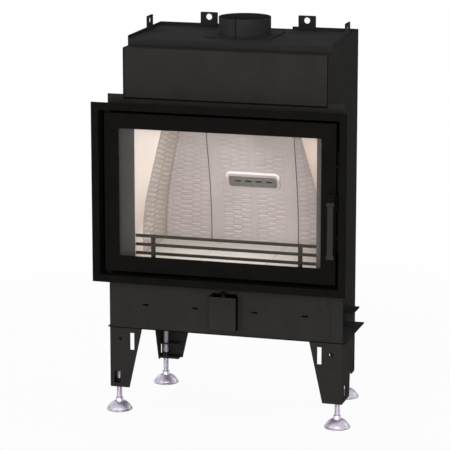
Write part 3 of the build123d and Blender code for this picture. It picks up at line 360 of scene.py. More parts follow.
def glass_rope(name, pale, dark, strand_mm=2.2011):
    """Braided glass fibre: dull grey yarn whose strands cross in two slants."""
    tree, shader = new_finish(name)
    place, strands = place_on(tree), []
    for slant in (0.8, -0.8):
        slanted = add(tree, "Mapping", {"Vector": place, "Rotation": (0.0, slant, 0.0)}).outputs[0]
        strands.append(add(tree, "TexWave", {"Vector": slanted, "Scale": 1 / (strand_mm * MM), "Distortion": 0.6},
                           bands_direction="DIAGONAL").outputs["Fac"])
    cross = math_node(tree, "MAXIMUM", *strands)
    fill(tree, shader, {"Base Color": mixed(tree, cross, dark, pale), "Roughness": 0.85,
                        "Specular IOR Level": 0.2, "Normal": bumped(tree, cross, 0.5)})


def zinc_plate(name, colour, tint, roughness, metallic=1.0, edge="ffffff", contact_shade=None):
    """Bright zinc plating: a pale mirror, lightly clouded, with a faint violet tint, darker where it is seen
    edge-on, as the passivated layer is. Where a foot is given a colour for it, its lowest ring is made dark as painted
    shadow where it stands on the floor."""
    tree, shader = new_finish(name)
    tone = clouds(tree, 12, 3, half=0.15)
    shade = mixed(tree, tone, colour, tint)
    # painted shadow along the foot's lowest ring, where it meets the floor
    if contact_shade:
        shade = mixed(tree, mark_of(tree, "contact_shade"), shade, contact_shade)
    fill(tree, shader, {"Base Color": shade, "Metallic": metallic, "Specular Tint": edge,
                        "Roughness": ranged(tree, tone, 0, 1, roughness - 0.05, roughness + 0.08),
                        "Normal": bumped(tree, noise(tree, 4, 2), 0.02)})


def grip_sleeve(name, dark, light, cap):
    """Heat-proof moulded sleeve: satin, brownish grey, finely eroded, with zinc die-cast end caps."""
    tree, shader = new_finish(name)
    grit = clouds(tree, 1.6, 2, half=0.15)
    sleeve = mixed(tree, grit, dark, light)
    colour = mixed(tree, ranged(tree, mark_of(tree, "cap"), 0.1, 0.7), sleeve, cap)
    fill(tree, shader, {"Base Color": colour, "Roughness": 0.6, "Specular IOR Level": 0.1,
                        "Normal": bumped(tree, grit, 0.05)})


def door_pane(name):
    """Clear glass ceramic: nearly all of the light passes straight through, with a faint warm grey tint."""
    tree, shader = new_finish(name)
    fill(tree, shader, {"Base Color": "2b2927", "Roughness": 0.06, "IOR": 1.54,
                        "Alpha": clouds(tree, 140, 3, 0.03, 0.05)})


# ---- what a user would change
def number(name, description, default, unit="LENGTH"):
    """Property for one number."""
    return FloatProperty(name=name, description=description, default=default, unit=unit)


class InsertStageSettings(PropertyGroup):
    """Camera, lamps and floor."""
    lens: number("Lens", "Focal length on a 36 mm wide sensor", 193.449, "NONE")
    camera_place: FloatVectorProperty(name="Camera", description="Camera's place", size=3, unit="LENGTH",
                                      default=(1.874538, -6.646086, 2.085211))
    camera_pitch: number("Pitch", "How far the camera looks down", math.radians(12.523), "ROTATION")
    camera_yaw: number("Yaw", "How far the camera looks to the left", math.radians(16.082), "ROTATION")
    key_power: number("Key lamp", "Lamp in front, to the right", 170, "POWER")
    fill_power: number("Fill lamp", "Lamp in front, to the left", 60, "POWER")
    top_power: number("Top lamp", "Lamp overhead", 9, "POWER")
    rear_power: number("Rear lamps", "Lamps behind, the left one whole, the right one half", 60, "POWER")
    chamber_power: number("Chamber lamp", "Soft lamp under the baffle that lights the lining", 0.38, "POWER")
    hearth_power: number("Hearth lamp", "Soft lamp low in the chamber that lights the hearth", 0.1, "POWER")
    sky: number("Sky", "Strength of the even light from all round", 0.45, "NONE")
    floor_size: number("Floor", "Half the floor's side", 30)
    shadow_floor: number("Shadow", "Distance within which the floor shows shadow", 1.2)


class InsertLiningSettings(PropertyGroup):
    """The pressed pattern of the lining."""
    groove_depth: number("Groove depth", "Depth of the pressed grooves", 2 * MM)
    groove_width: number("Groove width", "Width of a groove at the surface", 6.5 * MM)
    cell: number("Cell width", "Width of one of a column's three strips", 27 * MM)
    pitch: number("Pitch", "Height after which the pattern repeats", 31 * MM)
    bead_height: number("Bead", "How proud the bead round the nozzle stands", 6 * MM)


class InsertFootSettings(PropertyGroup):
    """The turned levelling feet."""
    thread_pitch: number("Thread pitch", "Pitch of the rod's thread", 2 * MM)
    thread_depth: number("Thread depth", "Depth of the rod's thread", 0.7 * MM)
    steps: IntProperty(name="Steps", description="Points round each turned pad", default=64)


class InsertDoorSettings(PropertyGroup):
    """The handle's grip and the door's sealing rope."""
    grip_length: number("Grip length", "Length of the grip over its caps", 162 * MM)
    grip_width: number("Grip width", "Width between the caps", 17.5 * MM)
    grip_place: number("Grip's middle", "Distance of its middle from the bar's edge", 10.5 * MM)
    cap_length: number("Cap length", "Length of an end cap", 12 * MM)
    plait: number("Plait", "Length of one crossing of the rope's plait", 9 * MM)


# ---- stage
def aimed_lamp(name, place, target, watts, size, size_y=None):
    """Square area lamp at place that faces target, or one inside the part: a strip that the camera doesn't see."""
    lamp = bpy.data.lights.new(name, "AREA")
    lamp.energy, lamp.size = watts, size
    made = bpy.data.objects.new(name, lamp)
    made.location = place
    way = np.subtract(target, place)
    made.rotation_euler = (math.atan2(math.hypot(way[0], way[1]), -way[2]), 0, math.atan2(-way[0], way[1]))
    if size_y:
        lamp.shape, lamp.size_y = "RECTANGLE", size_y
        made.visible_camera = False
    bpy.context.scene.collection.objects.link(made)
    return made


def white_seen(tree, shader_socket, share):
    """The given shader, but by share plain white in mirrors and glass, and clear to the camera, so that the
    world's white shows. Lamps shine through it from below, so a foot screwed down past the floor still shows."""
    light = add(tree, "LightPath").outputs
    seen = math_node(tree, "ADD", light["Is Glossy Ray"], light["Is Transmission Ray"], clamp=True)
    glow = add(tree, "Emission", {"Color": "ffffff", "Strength": 1.0})
    seen = math_node(tree, "MULTIPLY", seen, share)
    both = add(tree, "MixShader", {0: seen, 1: shader_socket, 2: glow.outputs[0]})
    below = add(tree, "NewGeometry").outputs["Backfacing"]
    lit = math_node(tree, "MULTIPLY", light["Is Shadow Ray"], below)
    passed = math_node(tree, "MULTIPLY_ADD", light["Is Camera Ray"], share, lit, clamp=True)
    clear = add(tree, "BsdfTransparent")
    return add(tree, "MixShader", {0: passed, 1: both.outputs[0], 2: clear.outputs[0]}).outputs[0]


class INSERT_OT_stage(Operator):
    """Add the camera, the lamps, the white surround and the floor"""
    bl_idname = "insert.stage"
    bl_label = "Stage"

    def execute(self, context):
        scene, settings = context.scene, context.scene.insert_stage
        scene.view_settings.view_transform = "Standard"
        lens = bpy.data.cameras.new("camera")
        lens.lens, lens.sensor_width, lens.clip_end = settings.lens, 36, 100
        camera = bpy.data.objects.new("camera", lens)
        camera.location = settings.camera_place
        camera.rotation_euler = (math.pi / 2 - settings.camera_pitch, 0, settings.camera_yaw)
        scene.collection.objects.link(camera)
        scene.camera = camera
        self.lamps(settings)
        self.surround(scene, settings)
        self.floor(scene, settings)
        return {"FINISHED"}

    def lamps(self, settings):
        """Five lamps round the part and two soft ones inside the chamber."""
        middle = (0, 0, 0.65)
        aimed_lamp("key_lamp", (1.5, -5.0, 1.5), middle, settings.key_power, 2.0)
        aimed_lamp("fill_lamp", (-3.0, -4.2, 1.4), middle, settings.fill_power, 2.5)
        aimed_lamp("top_lamp", (0.6, 0.5, 4.2), middle, settings.top_power, 2.5)
        aimed_lamp("rear_left_lamp", (-3.6, 3.4, 1.6), middle, settings.rear_power, 2.5)
        aimed_lamp("rear_right_lamp", (3.6, 3.4, 1.6), middle, settings.rear_power / 2, 2.5)
        place = (0.04, PLATE_Y + 75 * MM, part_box("baffle_lower")[0].z - 125 * MM)
        chamber = aimed_lamp("chamber_lamp", place, middle, settings.chamber_power, 0.22, 0.05)
        chamber.rotation_euler = (math.radians(4), math.radians(36), 0)
        place = (-0.04, PLATE_Y + 110 * MM, HEARTH_Z + 95 * MM)
        aimed_lamp("hearth_lamp", place, (place[0], place[1], HEARTH_Z), settings.hearth_power, 0.44, 0.16)

    def surround(self, scene, settings):
        """World that lights evenly, and is plain white to the camera, in mirrors and in glass."""
        scene.world = bpy.data.worlds.new("surround")
        tree = emptied(scene.world)
        sky = add(tree, "Background", {"Color": "ffffff", "Strength": settings.sky})
        white = add(tree, "Background", {"Color": "ffffff", "Strength": 1.0})
        light = add(tree, "LightPath").outputs
        seen = math_node(tree, "ADD", light["Is Camera Ray"], light["Is Glossy Ray"])
        seen = math_node(tree, "ADD", seen, light["Is Transmission Ray"], clamp=True)
        both = add(tree, "MixShader", {0: seen, 1: sky.outputs[0], 2: white.outputs[0]})
        add(tree, "OutputWorld", {"Surface": both.outputs[0]})

    def floor(self, scene, settings):
        """Floor whose shadow fades out beyond the shadow's distance."""
        finish = bpy.data.materials.new("pale_floor")
        tree = emptied(finish)
        matt = add(tree, "BsdfDiffuse", {"Color": "f2f2f2"})
        away = add(tree, "VectorMath", {0: place_on(tree)}, operation="LENGTH").outputs["Value"]
        share = ranged(tree, away, settings.shadow_floor, 2 * settings.shadow_floor, 0.94, 1.0)
        add(tree, "OutputMaterial", {"Surface": white_seen(tree, matt.outputs[0], share)})
        mesh = bpy.data.meshes.new("floor")
        half = settings.floor_size
        mesh.from_pydata([(x * half, y * half, 0) for y in (-1, 1) for x in (-1, 1)], [], [[0, 1, 3, 2]])
        mesh.materials.append(finish)
        floor = bpy.data.objects.new("floor", mesh)
        scene.collection.objects.link(floor)


# ---- finishes
class INSERT_OT_finishes(Operator):
    """Make the finishes and give them to the pieces that keep their own shape"""
    bl_idname = "insert.finishes"
    bl_label = "Finishes"

    def execute(self, context):
        sprayed_paint("black_door_paint", "0c0b0a", "100f0e", 0.6, 0.02)
        # black used as painted shade: edges of the base plate, sides and top of the lever's box, the cover inside it
        # and the parts behind it, and dark strips in gaps
        sprayed_paint("black_edge_paint", "090908", "0d0c0b", 0.7, 0.015)
        sprayed_paint("grey_body_paint", "272624", "2b2a28", 0.8, 0.015)
        # a lighter, slightly bluer copy of the body's grey for faces that look up: painted light on tops
        sprayed_paint("lit_top_paint", "29292a", "2e2e2f", 0.8, 0.015)
        # a darker copy of the body's grey for the side panels and side ears: painted shade
        sprayed_paint("shaded_side_paint", "242322", "272625", 0.85, 0.01)
        sprayed_paint("seam_shaded_grey_paint", "29292a", "2e2e2f", 0.8, 0.015, seam=True)
        sprayed_paint("brown_grey_paint", "38342f", "403c37", 0.5, 0.06)
        rolled_steel("grey_sheet_steel", "4a4745", "55524f", 0.6, 0.2)
        rolled_steel("bare_sheet_steel", "6a6a6a", "7d7d7c", 0.42)
        rolled_steel("cast_grey_steel", "6b6763", "777470", 0.6, 0.1, (60.0, 60.0))
        pressed_fireclay("pale_fireclay", "c1b8b6", "b6adab")
        # the side lining's copy has stronger painted shade in its grooves and a stronger painted highlight on their
        # lips
        pressed_fireclay("side_fireclay", "cbc1b8", "bfb5ac", 3.0, 0.35, 0.5, 1.0)
        pressed_fireclay("smooth_fireclay", "fdf1e6", "fbeadc", 2.0, 0.15)
        pressed_fireclay("warm_fireclay", "feeade", "fce2d2", 2.0, 0.15)    # the right cheek's copy, pinker and a little darker than the left cheek's
        pressed_fireclay("hearth_fireclay", "f4f0ea", "ebe6de", 3.5, 0.3)
        pressed_fireclay("baffle_board", "d9c9b8", "cdbba8", 2.5, 0.3)
        glass_rope("sealing_rope", "8b8985", "4a4845")
        # the last colour is the painted contact shadow on the feet's lowest ring
        zinc_plate("zinc_plate", "cac2cf", "bcb4c2", 0.42, 0.85, "1c1a1e", "4e4a50")
        zinc_plate("zinc_fasteners", "8a888c", "757378", 0.45)
        zinc_plate("black_oxide", "262427", "1c1b1e", 0.5)
        grip_sleeve("grip_sleeve", "231f1f", "2a2626", "252423")
        door_pane("door_pane")
        kept = {
            "door_pane": ["door_glass"], "sealing_rope": ["glass_seal"],
            # the air damper's black oxide also stands for the shade inside the lever's box
            "zinc_fasteners": ["glass_clips", "clip_screws"], "black_oxide": ["leg_bolts", "air_damper"],
            # the side ears take the darker side grey, painted shade
            "baffle_board": ["baffle_lower", "baffle_upper"], "shaded_side_paint": ["side_ears"],
            "grey_body_paint": ["baffle_rails", "back_panel"], "bare_sheet_steel": ["air_duct"],
            "grey_sheet_steel": ["floor_steel", "air_sill", "door_seat"],
            # the parts inside the lever's box are black, as painted shade inside it
            "black_edge_paint": ["air_box", "damper_rail"],
            "black_door_paint": ["hinge_pins", "hinge_bushes", "hinge_brackets", "strikes", "shaft_bearings",
                                 "latch_shaft", "latch_hooks"],
        }
        for finish, nodes in kept.items():
            for node in nodes:
                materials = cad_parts[node].data.materials
                materials.clear()
                materials.append(FINISHES[finish])
        return {"FINISHED"}


# ---- sheet metal and bricks with rounded edges
class INSERT_OT_sheet_metal(Operator):
    """Round the edges of the pieces cut and bent from sheet and bar"""
    bl_idname = "insert.sheet_metal"
    bl_label = "Sheet metal"

    def execute(self, context):
        # the side panels take the darker side grey, painted shade
        for side, _ in SIDES:
            rounded("side_panel_" + side, "shaded_side_paint", 0.6)
        widths = {"front_plate": 0.6, "upper_front_panel": 1.2, **{"leg_" + corner: 0.9 for corner in CORNERS},
                  "air_collar": 0.5}
        for node, width in widths.items():
            rounded(node, "grey_body_paint", width)
        for node in ("top_plate", "flue_plate", "lifting_lugs"):
            # faces that look up take the lighter grey, painted light
            rounded(node, "grey_body_paint", other="lit_top_paint")
        # the base plate: its top in the lighter grey, painted light, and its other faces black, painted shade along its
        # front edge
        rounded("base_plate", "black_edge_paint", 0.4, other="lit_top_paint")
        # the lever's box: front faces grey; sides, top and back black as painted shade
        rounded("lever_box", "black_edge_paint", 1.5, other="grey_body_paint", way=(0, -1, 0))
        # a patch of painted shade on the cover inside the lever's box, between its flanges
        cover = rounded("lower_cover", "grey_body_paint", 0.6)
        low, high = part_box("lever_box")
        flange = 9 * MM
        paint_shade_patch(cover, "black_edge_paint", (low.x + flange, 0, low.z), (high.x - flange, 0, high.z))
        rounded("front_frame", "black_door_paint", 1.2, 3)
        rounded("door_frame", "black_door_paint", 1.2, 3, body="door")
        rounded("log_guard", "brown_grey_paint")
        rounded("lever_knob", "black_door_paint", 0.5, body="air_control")
        rounded("lock_nuts", "black_oxide")
        rounded("nozzle_cover", "cast_grey_steel", 0.5)
        return {"FINISHED"}


class INSERT_OT_hearth(Operator):
    """Lay the fireclay bricks of the hearth"""
    bl_idname = "insert.hearth"
    bl_label = "Hearth"

    def execute(self, context):
        rounded("hearth_bricks", "hearth_fireclay", 2.0, 3)
        return {"FINISHED"}


# ---- lining
def leaning(along_face):
    """Shift and rise of the lining's face at a length along it from the hearth, and how far it leans there.

    Upright at first, then an arc of LEAN_RADIUS up to LEAN_ANGLE, then straight on at that angle."""
    along = np.maximum(along_face - LEAN_START, 0)
    turn = np.minimum(along / LEAN_RADIUS, LEAN_ANGLE)
    rest = along - turn * LEAN_RADIUS
    shift = LEAN_RADIUS * (1 - np.cos(turn)) + rest * np.sin(turn)
    rise = np.minimum(along_face, LEAN_START) + LEAN_RADIUS * np.sin(turn) + rest * np.cos(turn)
    return shift, rise, turn


def groove_lines(places, width, ends, more):
    """Sorted grid lines: beside every groove at places, at the ends, and others where two are too far apart."""
    places = np.asarray(places, float)
    lines = np.concatenate([places + offset * width for offset in (-0.9, -0.5, -0.25, 0.25, 0.5)]
                           + [np.array(ends), np.array(more)])
    lines = np.unique(np.round(np.clip(lines, *ends), 6))
    extra = [np.linspace(a, b, int(np.ceil((b - a) / LONGEST_QUAD)) + 1)[1:-1]
             for a, b in zip(lines, lines[1:]) if b - a > LONGEST_QUAD]
    return np.sort(np.concatenate([lines] + extra))


def groove_grid(low, high, starts, settings, more_x=(), more_s=()):
    """Grid of places across a lining's face, from low to high, and along it from the hearth to its top."""
    pitch = settings.pitch
    across = [start + k * settings.cell for start in starts for k in range(4)]
    along = [k * pitch + phase * pitch for k in range(int(LINING_LENGTH / pitch) + 1)
             for phase in (0, 0.25, 0.5, 0.75)]
    x = groove_lines([v for v in across if low < v < high], settings.groove_width, (low, high), more_x)
    return np.meshgrid(x, groove_lines(along, settings.groove_width, (0, LINING_LENGTH), more_s))


def key_grooves(across, along, starts, settings):
    """Depth of the pressed grooves at each point, and how strong the painted highlight is there.

    A column has three strips, each with a level groove at every half pitch, the middle strip's a quarter
    pitch lower. A short upright groove joins every other pair at the strip's edge. A groove's sides slope: it is
    full within a quarter width of its middle and ends at a half. A painted highlight, standing for light from
    above on the lower lip, lies from 0.85 to 0.15 groove widths under a level groove's middle. Each groove has its
    own depth, from a quarter to the whole, by the usual sine hash of its strip and row."""
    cell, pitch, width = settings.cell, settings.pitch, settings.groove_width

    def off_level(phase):
        return np.mod(np.mod(along, pitch) - phase * pitch + pitch / 2, pitch) - pitch / 2

    nearest = np.full(along.shape, 1.0)
    lit_lip, share = np.zeros(along.shape), np.ones(along.shape)
    for column, start in enumerate(starts):
        x = across - start
        for strip, phase in ((0, 0.0), (0, 0.5), (1, 0.25), (1, 0.75), (2, 0.0), (2, 0.5)):
            beside = np.maximum(np.maximum(strip * cell - x, x - (strip + 1) * cell), 0)
            off = off_level(phase)
            row = np.floor(along / pitch - phase + 0.5) + phase
            own = 0.25 + 0.75 * np.mod(np.sin(row * 12.9898 + (3 * column + strip) * 78.233) * 43758.5453, 1)
            here = (beside <= 0) & (np.abs(off) <= pitch / 4)
            share = np.where(here, own, share)
            nearest = np.minimum(nearest, np.maximum(beside, np.abs(off)))
            # painted highlight on the lower lip, where light from above catches it
            lip = np.clip(1 - np.abs(off + 0.5 * width) / (0.35 * width), 0, 1)
            lit_lip = np.maximum(lit_lip, lip * own * here)
        for edge, phase in ((cell, 0.125), (2 * cell, 0.625)):
            beyond = np.maximum(np.abs(off_level(phase)) - pitch / 8, 0)
            nearest = np.minimum(nearest, np.maximum(np.abs(x - edge), beyond))
    depth = settings.groove_depth * np.clip((width / 2 - nearest) / (width / 4), 0, 1) * share
    pressed = np.minimum(along, LINING_LENGTH - along) >= PLAIN_EDGE
    return depth * pressed, lit_lip * pressed


def round_box(x, z, half_x, half_z, corner):
    """Signed distance to a rectangle with rounded corners, less than nought inside it."""
    off_x, off_z = np.abs(x) - half_x + corner, np.abs(z) - half_z + corner
    outside = np.hypot(np.maximum(off_x, 0), np.maximum(off_z, 0))
    return outside + np.minimum(np.maximum(off_x, off_z), 0) - corner


def nozzle_relief(across, rise, bead_height):
    """Height of the bead round the air nozzle with the sink for its cover, and where its rim and the sink lie.

    The bead rises by a quarter of an ellipse from a rounded outer outline, is level, and falls by another one to
    the rounded edge of the sink. Its rim gets a painted highlight, strongest half way up the first, full on the
    bead's upper side and weak on its lower side, where light from above falls less."""
    side, top, bottom, corner = 11 * MM, 17 * MM, 6 * MM, 15 * MM
    rim, edge, gap, sink_corner = 7 * MM, 2.5 * MM, 0.6 * MM, 8 * MM
    outer = -round_box(across, rise - (top - bottom) / 2, NOZZLE_HALF_X + side,
                       NOZZLE_HALF_Z + (top + bottom) / 2, corner)
    inner = round_box(across, rise, NOZZLE_HALF_X + gap, NOZZLE_HALF_Z + gap, sink_corner)
    on_bead, in_sink = (outer > 0) & (inner > 0), inner <= 0
    crown = np.ones(inner.shape)
    for inside, width in ((outer, rim), (inner, edge)):
        crown *= np.sqrt(np.clip(1 - (1 - np.clip(inside / width, 0, 1)) ** 2, 0, 1))
    height = bead_height * crown * on_bead - NOZZLE_SINK * in_sink
    # painted highlight: full on the bead's upper side, down to 0.15 on its lower side
    above = np.clip((rise - NOZZLE_HALF_Z * 0.4) / (NOZZLE_HALF_Z * 0.8), 0.15, 1)
    pale = np.clip(1.6 - 1.6 * np.abs(outer - rim / 2) / (rim * 0.6), 0, 1)
    return height, pale * above * on_bead, in_sink.astype(float)


def back_lining(low_x, high_x, starts, settings, nozzle_at=None):
    """Grids of the back lining's face, pressed with columns, and of its flat back, and the face's marks."""
    more_x, more_s = (), ()
    if nozzle_at:
        more_x = np.arange(-86, 87, 2.0) * MM       # finer lines round the nozzle
        more_s = nozzle_at + np.arange(-26, 39, 1.5) * MM
    xs, ss = groove_grid(low_x, high_x, starts, settings, more_x, more_s)
    depth, lit_lip = key_grooves(xs, ss, starts, settings)
    raised = bead = dark = np.zeros_like(depth)
    if nozzle_at:
        pressed = (np.abs(xs) >= NOZZLE_HALF_X + 20 * MM) | (np.abs(ss - nozzle_at) >= NOZZLE_HALF_Z + 22 * MM)
        depth, lit_lip = depth * pressed, lit_lip * pressed
        raised, bead, dark = nozzle_relief(xs, ss - nozzle_at, settings.bead_height)
    depth *= 1 - 0.5 * np.clip(2 * ss / LINING_LENGTH - 0.9, 0, 1)      # the pattern is weaker in the upper half
    lit_lip *= 1 - 0.75 * np.clip(ss / LINING_LENGTH, 0, 1)                 # the painted highlight on the lips is weaker towards the top
    shift, rise, turn = leaning(ss)
    sunk = depth - raised
    front = np.stack([xs, LINING_FACE_Y - shift + sunk * np.cos(turn), HEARTH_Z + rise + sunk * np.sin(turn)], -1)
    back = np.stack([xs, LINING_BACK_Y - shift, HEARTH_Z + rise], -1)
    front[-1, :, 2] = back[-1, :, 2]
    # painted shade: 0.35 along the panel's side edges, for the gaps between panels, and full in the nozzle's sink
    joint = np.where((xs <= low_x + TINY) | (xs >= high_x - TINY), 0.35, dark)
    return front, back, {"groove": depth / settings.groove_depth, "lit_lip": lit_lip, "bead": bead, "joint": joint}


def clay_panel(name, node, finish, front, back, marks=None):
    """Panel of the lining between two grids. The marks are the front's; behind it, seen only through the gaps between
    panels, all of it is made dark as painted shade.
    """
    marks = {key: np.concatenate([value.ravel(), np.full(value.size, float(key == "joint"))])
             for key, value in (marks or {}).items()}
    piece(name, *slab(front, back), finish, "fireclay", node, marks=marks)


def cheek_joint(rise):
    """Y where the cheek meets the side lining, at a rise above the hearth."""
    return CHEEK_BOTTOM_Y + (CHEEK_TOP_Y - CHEEK_BOTTOM_Y) * (rise / (LINING_TOP_Z - HEARTH_Z))


class INSERT_OT_lining(Operator):
    """Press the back and side linings with their pattern, and shape the cheeks"""
    bl_idname = "insert.lining"
    bl_label = "Lining"

    def execute(self, context):
        settings = context.scene.insert_lining
        column = 3 * settings.cell
        nozzle_z = sum(corner.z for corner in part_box("nozzle_cover")) / 2
        along = np.linspace(0, LINING_LENGTH, 400)
        nozzle_at = float(np.interp(nozzle_z - HEARTH_Z, leaning(along)[1], along))
        panel = back_lining(-CENTRE_X + JOINT / 2, CENTRE_X - JOINT / 2, (-13 * MM - column, 13 * MM), settings,
                            nozzle_at)
        clay_panel("back_centre_lining", "lining_back_centre", "pale_fireclay", *panel)
        for side, sign in SIDES:
            self.back_side(side, sign, settings)
            self.side_wall(side, sign, settings)
            self.cheek(side, sign)
        return {"FINISHED"}

    def back_side(self, side, sign, settings):
        """Back lining beside the middle panel, drawn in towards its top to meet the side lining's lean."""
        low = CENTRE_X + JOINT
        front, back, marks = back_lining(low, SIDE_FACE_X, (CENTRE_X + 9 * MM, CENTRE_X + 75 * MM), settings)
        edge = SIDE_FACE_X - 0.3 * MM - (LINING_BACK_Y - back[:, 0, 1])
        for grid in (front, back):
            share = (grid[..., 0] - low) / (SIDE_FACE_X - low)
            grid[..., 0] = sign * (low + share * (edge[:, None] - low))
        clay_panel(f"back_{side}_lining", f"lining_back_{side}", "pale_fireclay", front, back, marks)

    def side_wall(self, side, sign, settings):
        """Side lining: across it a share of the way from the cheek's joint to the back lining's face."""
        starts = (16 * MM, 119 * MM)
        ts, ss = groove_grid(0, SIDE_WIDTH, starts, settings)
        depth, lit_lip = key_grooves(ts, ss, starts, settings)
        shift, rise, turn = leaning(ss)
        joint_y = cheek_joint(rise)
        y = joint_y + (LINING_FACE_Y - shift - joint_y) * ts / SIDE_WIDTH
        y = np.where(ts >= SIDE_WIDTH - TINY, LINING_BACK_Y, y)
        z = HEARTH_Z + rise
        front = np.stack([sign * (SIDE_FACE_X - shift + depth * np.cos(turn)), y, z + depth * np.sin(turn)], -1)
        front[-1, :, 2] = LINING_TOP_Z
        back = np.stack([sign * INSIDE_X + 0 * y, y, z], -1)
        # the side lining's painted highlight on the lips is made 1.6 times stronger, clamped
        marks = {"groove": depth / settings.groove_depth, "lit_lip": np.clip(1.6 * lit_lip, 0, 1)}
        clay_panel(f"side_{side}_lining", f"lining_side_{side}", "side_fireclay", front, back, marks)

    def cheek(self, side, sign):
        """Cheek: straight across from the mouth's edge to where it meets the side lining, at every height."""
        ss, across = np.meshgrid(np.linspace(0, LINING_LENGTH, 60), np.linspace(0, 1, 12), indexing="ij")
        shift, rise, turn = leaning(ss)
        front = np.stack([sign * (MOUTH_X + (SIDE_FACE_X - shift - MOUTH_X) * across),
                          CHEEK_MOUTH_Y + (cheek_joint(rise) - CHEEK_MOUTH_Y) * across, HEARTH_Z + rise], -1)
        back = front.copy()
        back[..., 0] = sign * INSIDE_X
        finish = {"left": "smooth_fireclay", "right": "warm_fireclay"}[side]
        clay_panel(f"cheek_{side}", f"lining_cheek_{side}", finish, front, back)


# ---- dark strips of painted shade
def dark_shade_strip(name, runs, thick):
    """Dark strip with soft corners along straight runs, each with its start, end, way across and width: painted shade
    in a gap.
    """
    x, y = soft_box(24, 8)
    share = np.linspace(0, 1, 40)[:, None, None]
    shells = []
    for start, end, across, width in runs:
        line = np.array(start) + share * (np.array(end) - np.array(start))
        ring = x[:, None] * np.array(across) * width / 2 + y[:, None] * np.array([0, 1, 0]) * thick / 2
        shells.append((line + ring, closed_tube_faces(40, 24)))
    piece(name, *joined(shells), "black_edge_paint", "sealing_rope", sharp=35)


class INSERT_OT_shade_strips(Operator):
    """Lay dark strips of painted shade: in the gaps round the upper front panel, and in the slits between the front
    frame's sides and the plate
    """
    bl_idname = "insert.panel_gasket"
    bl_label = "Panel gasket"

    def execute(self, context):
        low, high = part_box("upper_front_panel")
        wide, narrow, thick = 4.4 * MM, 2.2 * MM, 1.4 * MM
        bottom = low.z - wide / 2 - 0.2 * MM
        runs = [((low.x, low.y, bottom), (high.x, low.y, bottom), (0, 0, 1), wide)]
        for x in (low.x + narrow / 2, high.x - narrow / 2):
            runs.append(((x, low.y, low.z + 0.5 * MM), (x, low.y, high.z - 0.5 * MM), (1, 0, 0), narrow))
        dark_shade_strip("panel_gap_shade", runs, thick)
        low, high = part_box("front_frame")
        band, plate_x = 22 * MM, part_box("front_plate")[1].x     # the slit lies between the plate and the frame's wall
        x, y = (plate_x + high.x - band) / 2, PLATE_Y - 0.6 * MM
        dark_shade_strip("frame_slit_shade", [((sign * x, y, low.z + band), (sign * x, y, high.z - band), (1, 0, 0),
                                     high.x - band - plate_x + MM) for _, sign in SIDES], thick)
        return {"FINISHED"}


# ---- flue collar
class INSERT_OT_flue_collar(Operator):
    """Roll the flue collar, with its lapped seam and its turned rim"""
    bl_idname = "insert.flue_collar"
    bl_label = "Flue collar"

    def execute(self, context):
        """Profile: a straight wall with a half round rim. Bell curves round it are the weld and, just beside it, a
        painted shadow line along the lap.
        """
        low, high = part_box("flue_collar")
        centre = ((low.x + high.x) / 2, (low.y + high.y) / 2, low.z)
        outer, height = (high.x - low.x) / 2, high.z - low.z
        wall, proud, steps = 2 * MM, 0.9 * MM, 192
        lip = np.linspace(0, math.pi, 9)
        outer_z = np.linspace(0, height - wall / 2, 14)[:-1]
        radius = np.concatenate([np.full(len(outer_z), outer), outer - wall / 2 + wall / 2 * np.cos(lip),
                                 np.full(len(outer_z), outer - wall)])[:, None]
        z = np.concatenate([outer_z, height - wall / 2 + wall / 2 * np.sin(lip), outer_z[::-1]])[:, None]
        off = ((angles(steps) - math.radians(262) + math.pi) % (2 * math.pi) - math.pi) * outer
        weld = proud * np.exp(-(off / (2.2 * MM)) ** 2)
        outside = radius > outer - wall * 0.6
        points = turned(radius + np.where(outside, weld - proud, 0), z, centre, steps)
        # painted shadow line 4 mm beside the weld's middle, on the outer wall
        seam = np.exp(-((off - 4 * MM) / (1.8 * MM)) ** 2) * outside
        piece("rolled_flue_collar", points, grid_faces(len(radius), steps, True, True).tolist(),
              "seam_shaded_grey_paint", "body_paint", "flue_collar", marks={"seam": seam})
        return {"FINISHED"}


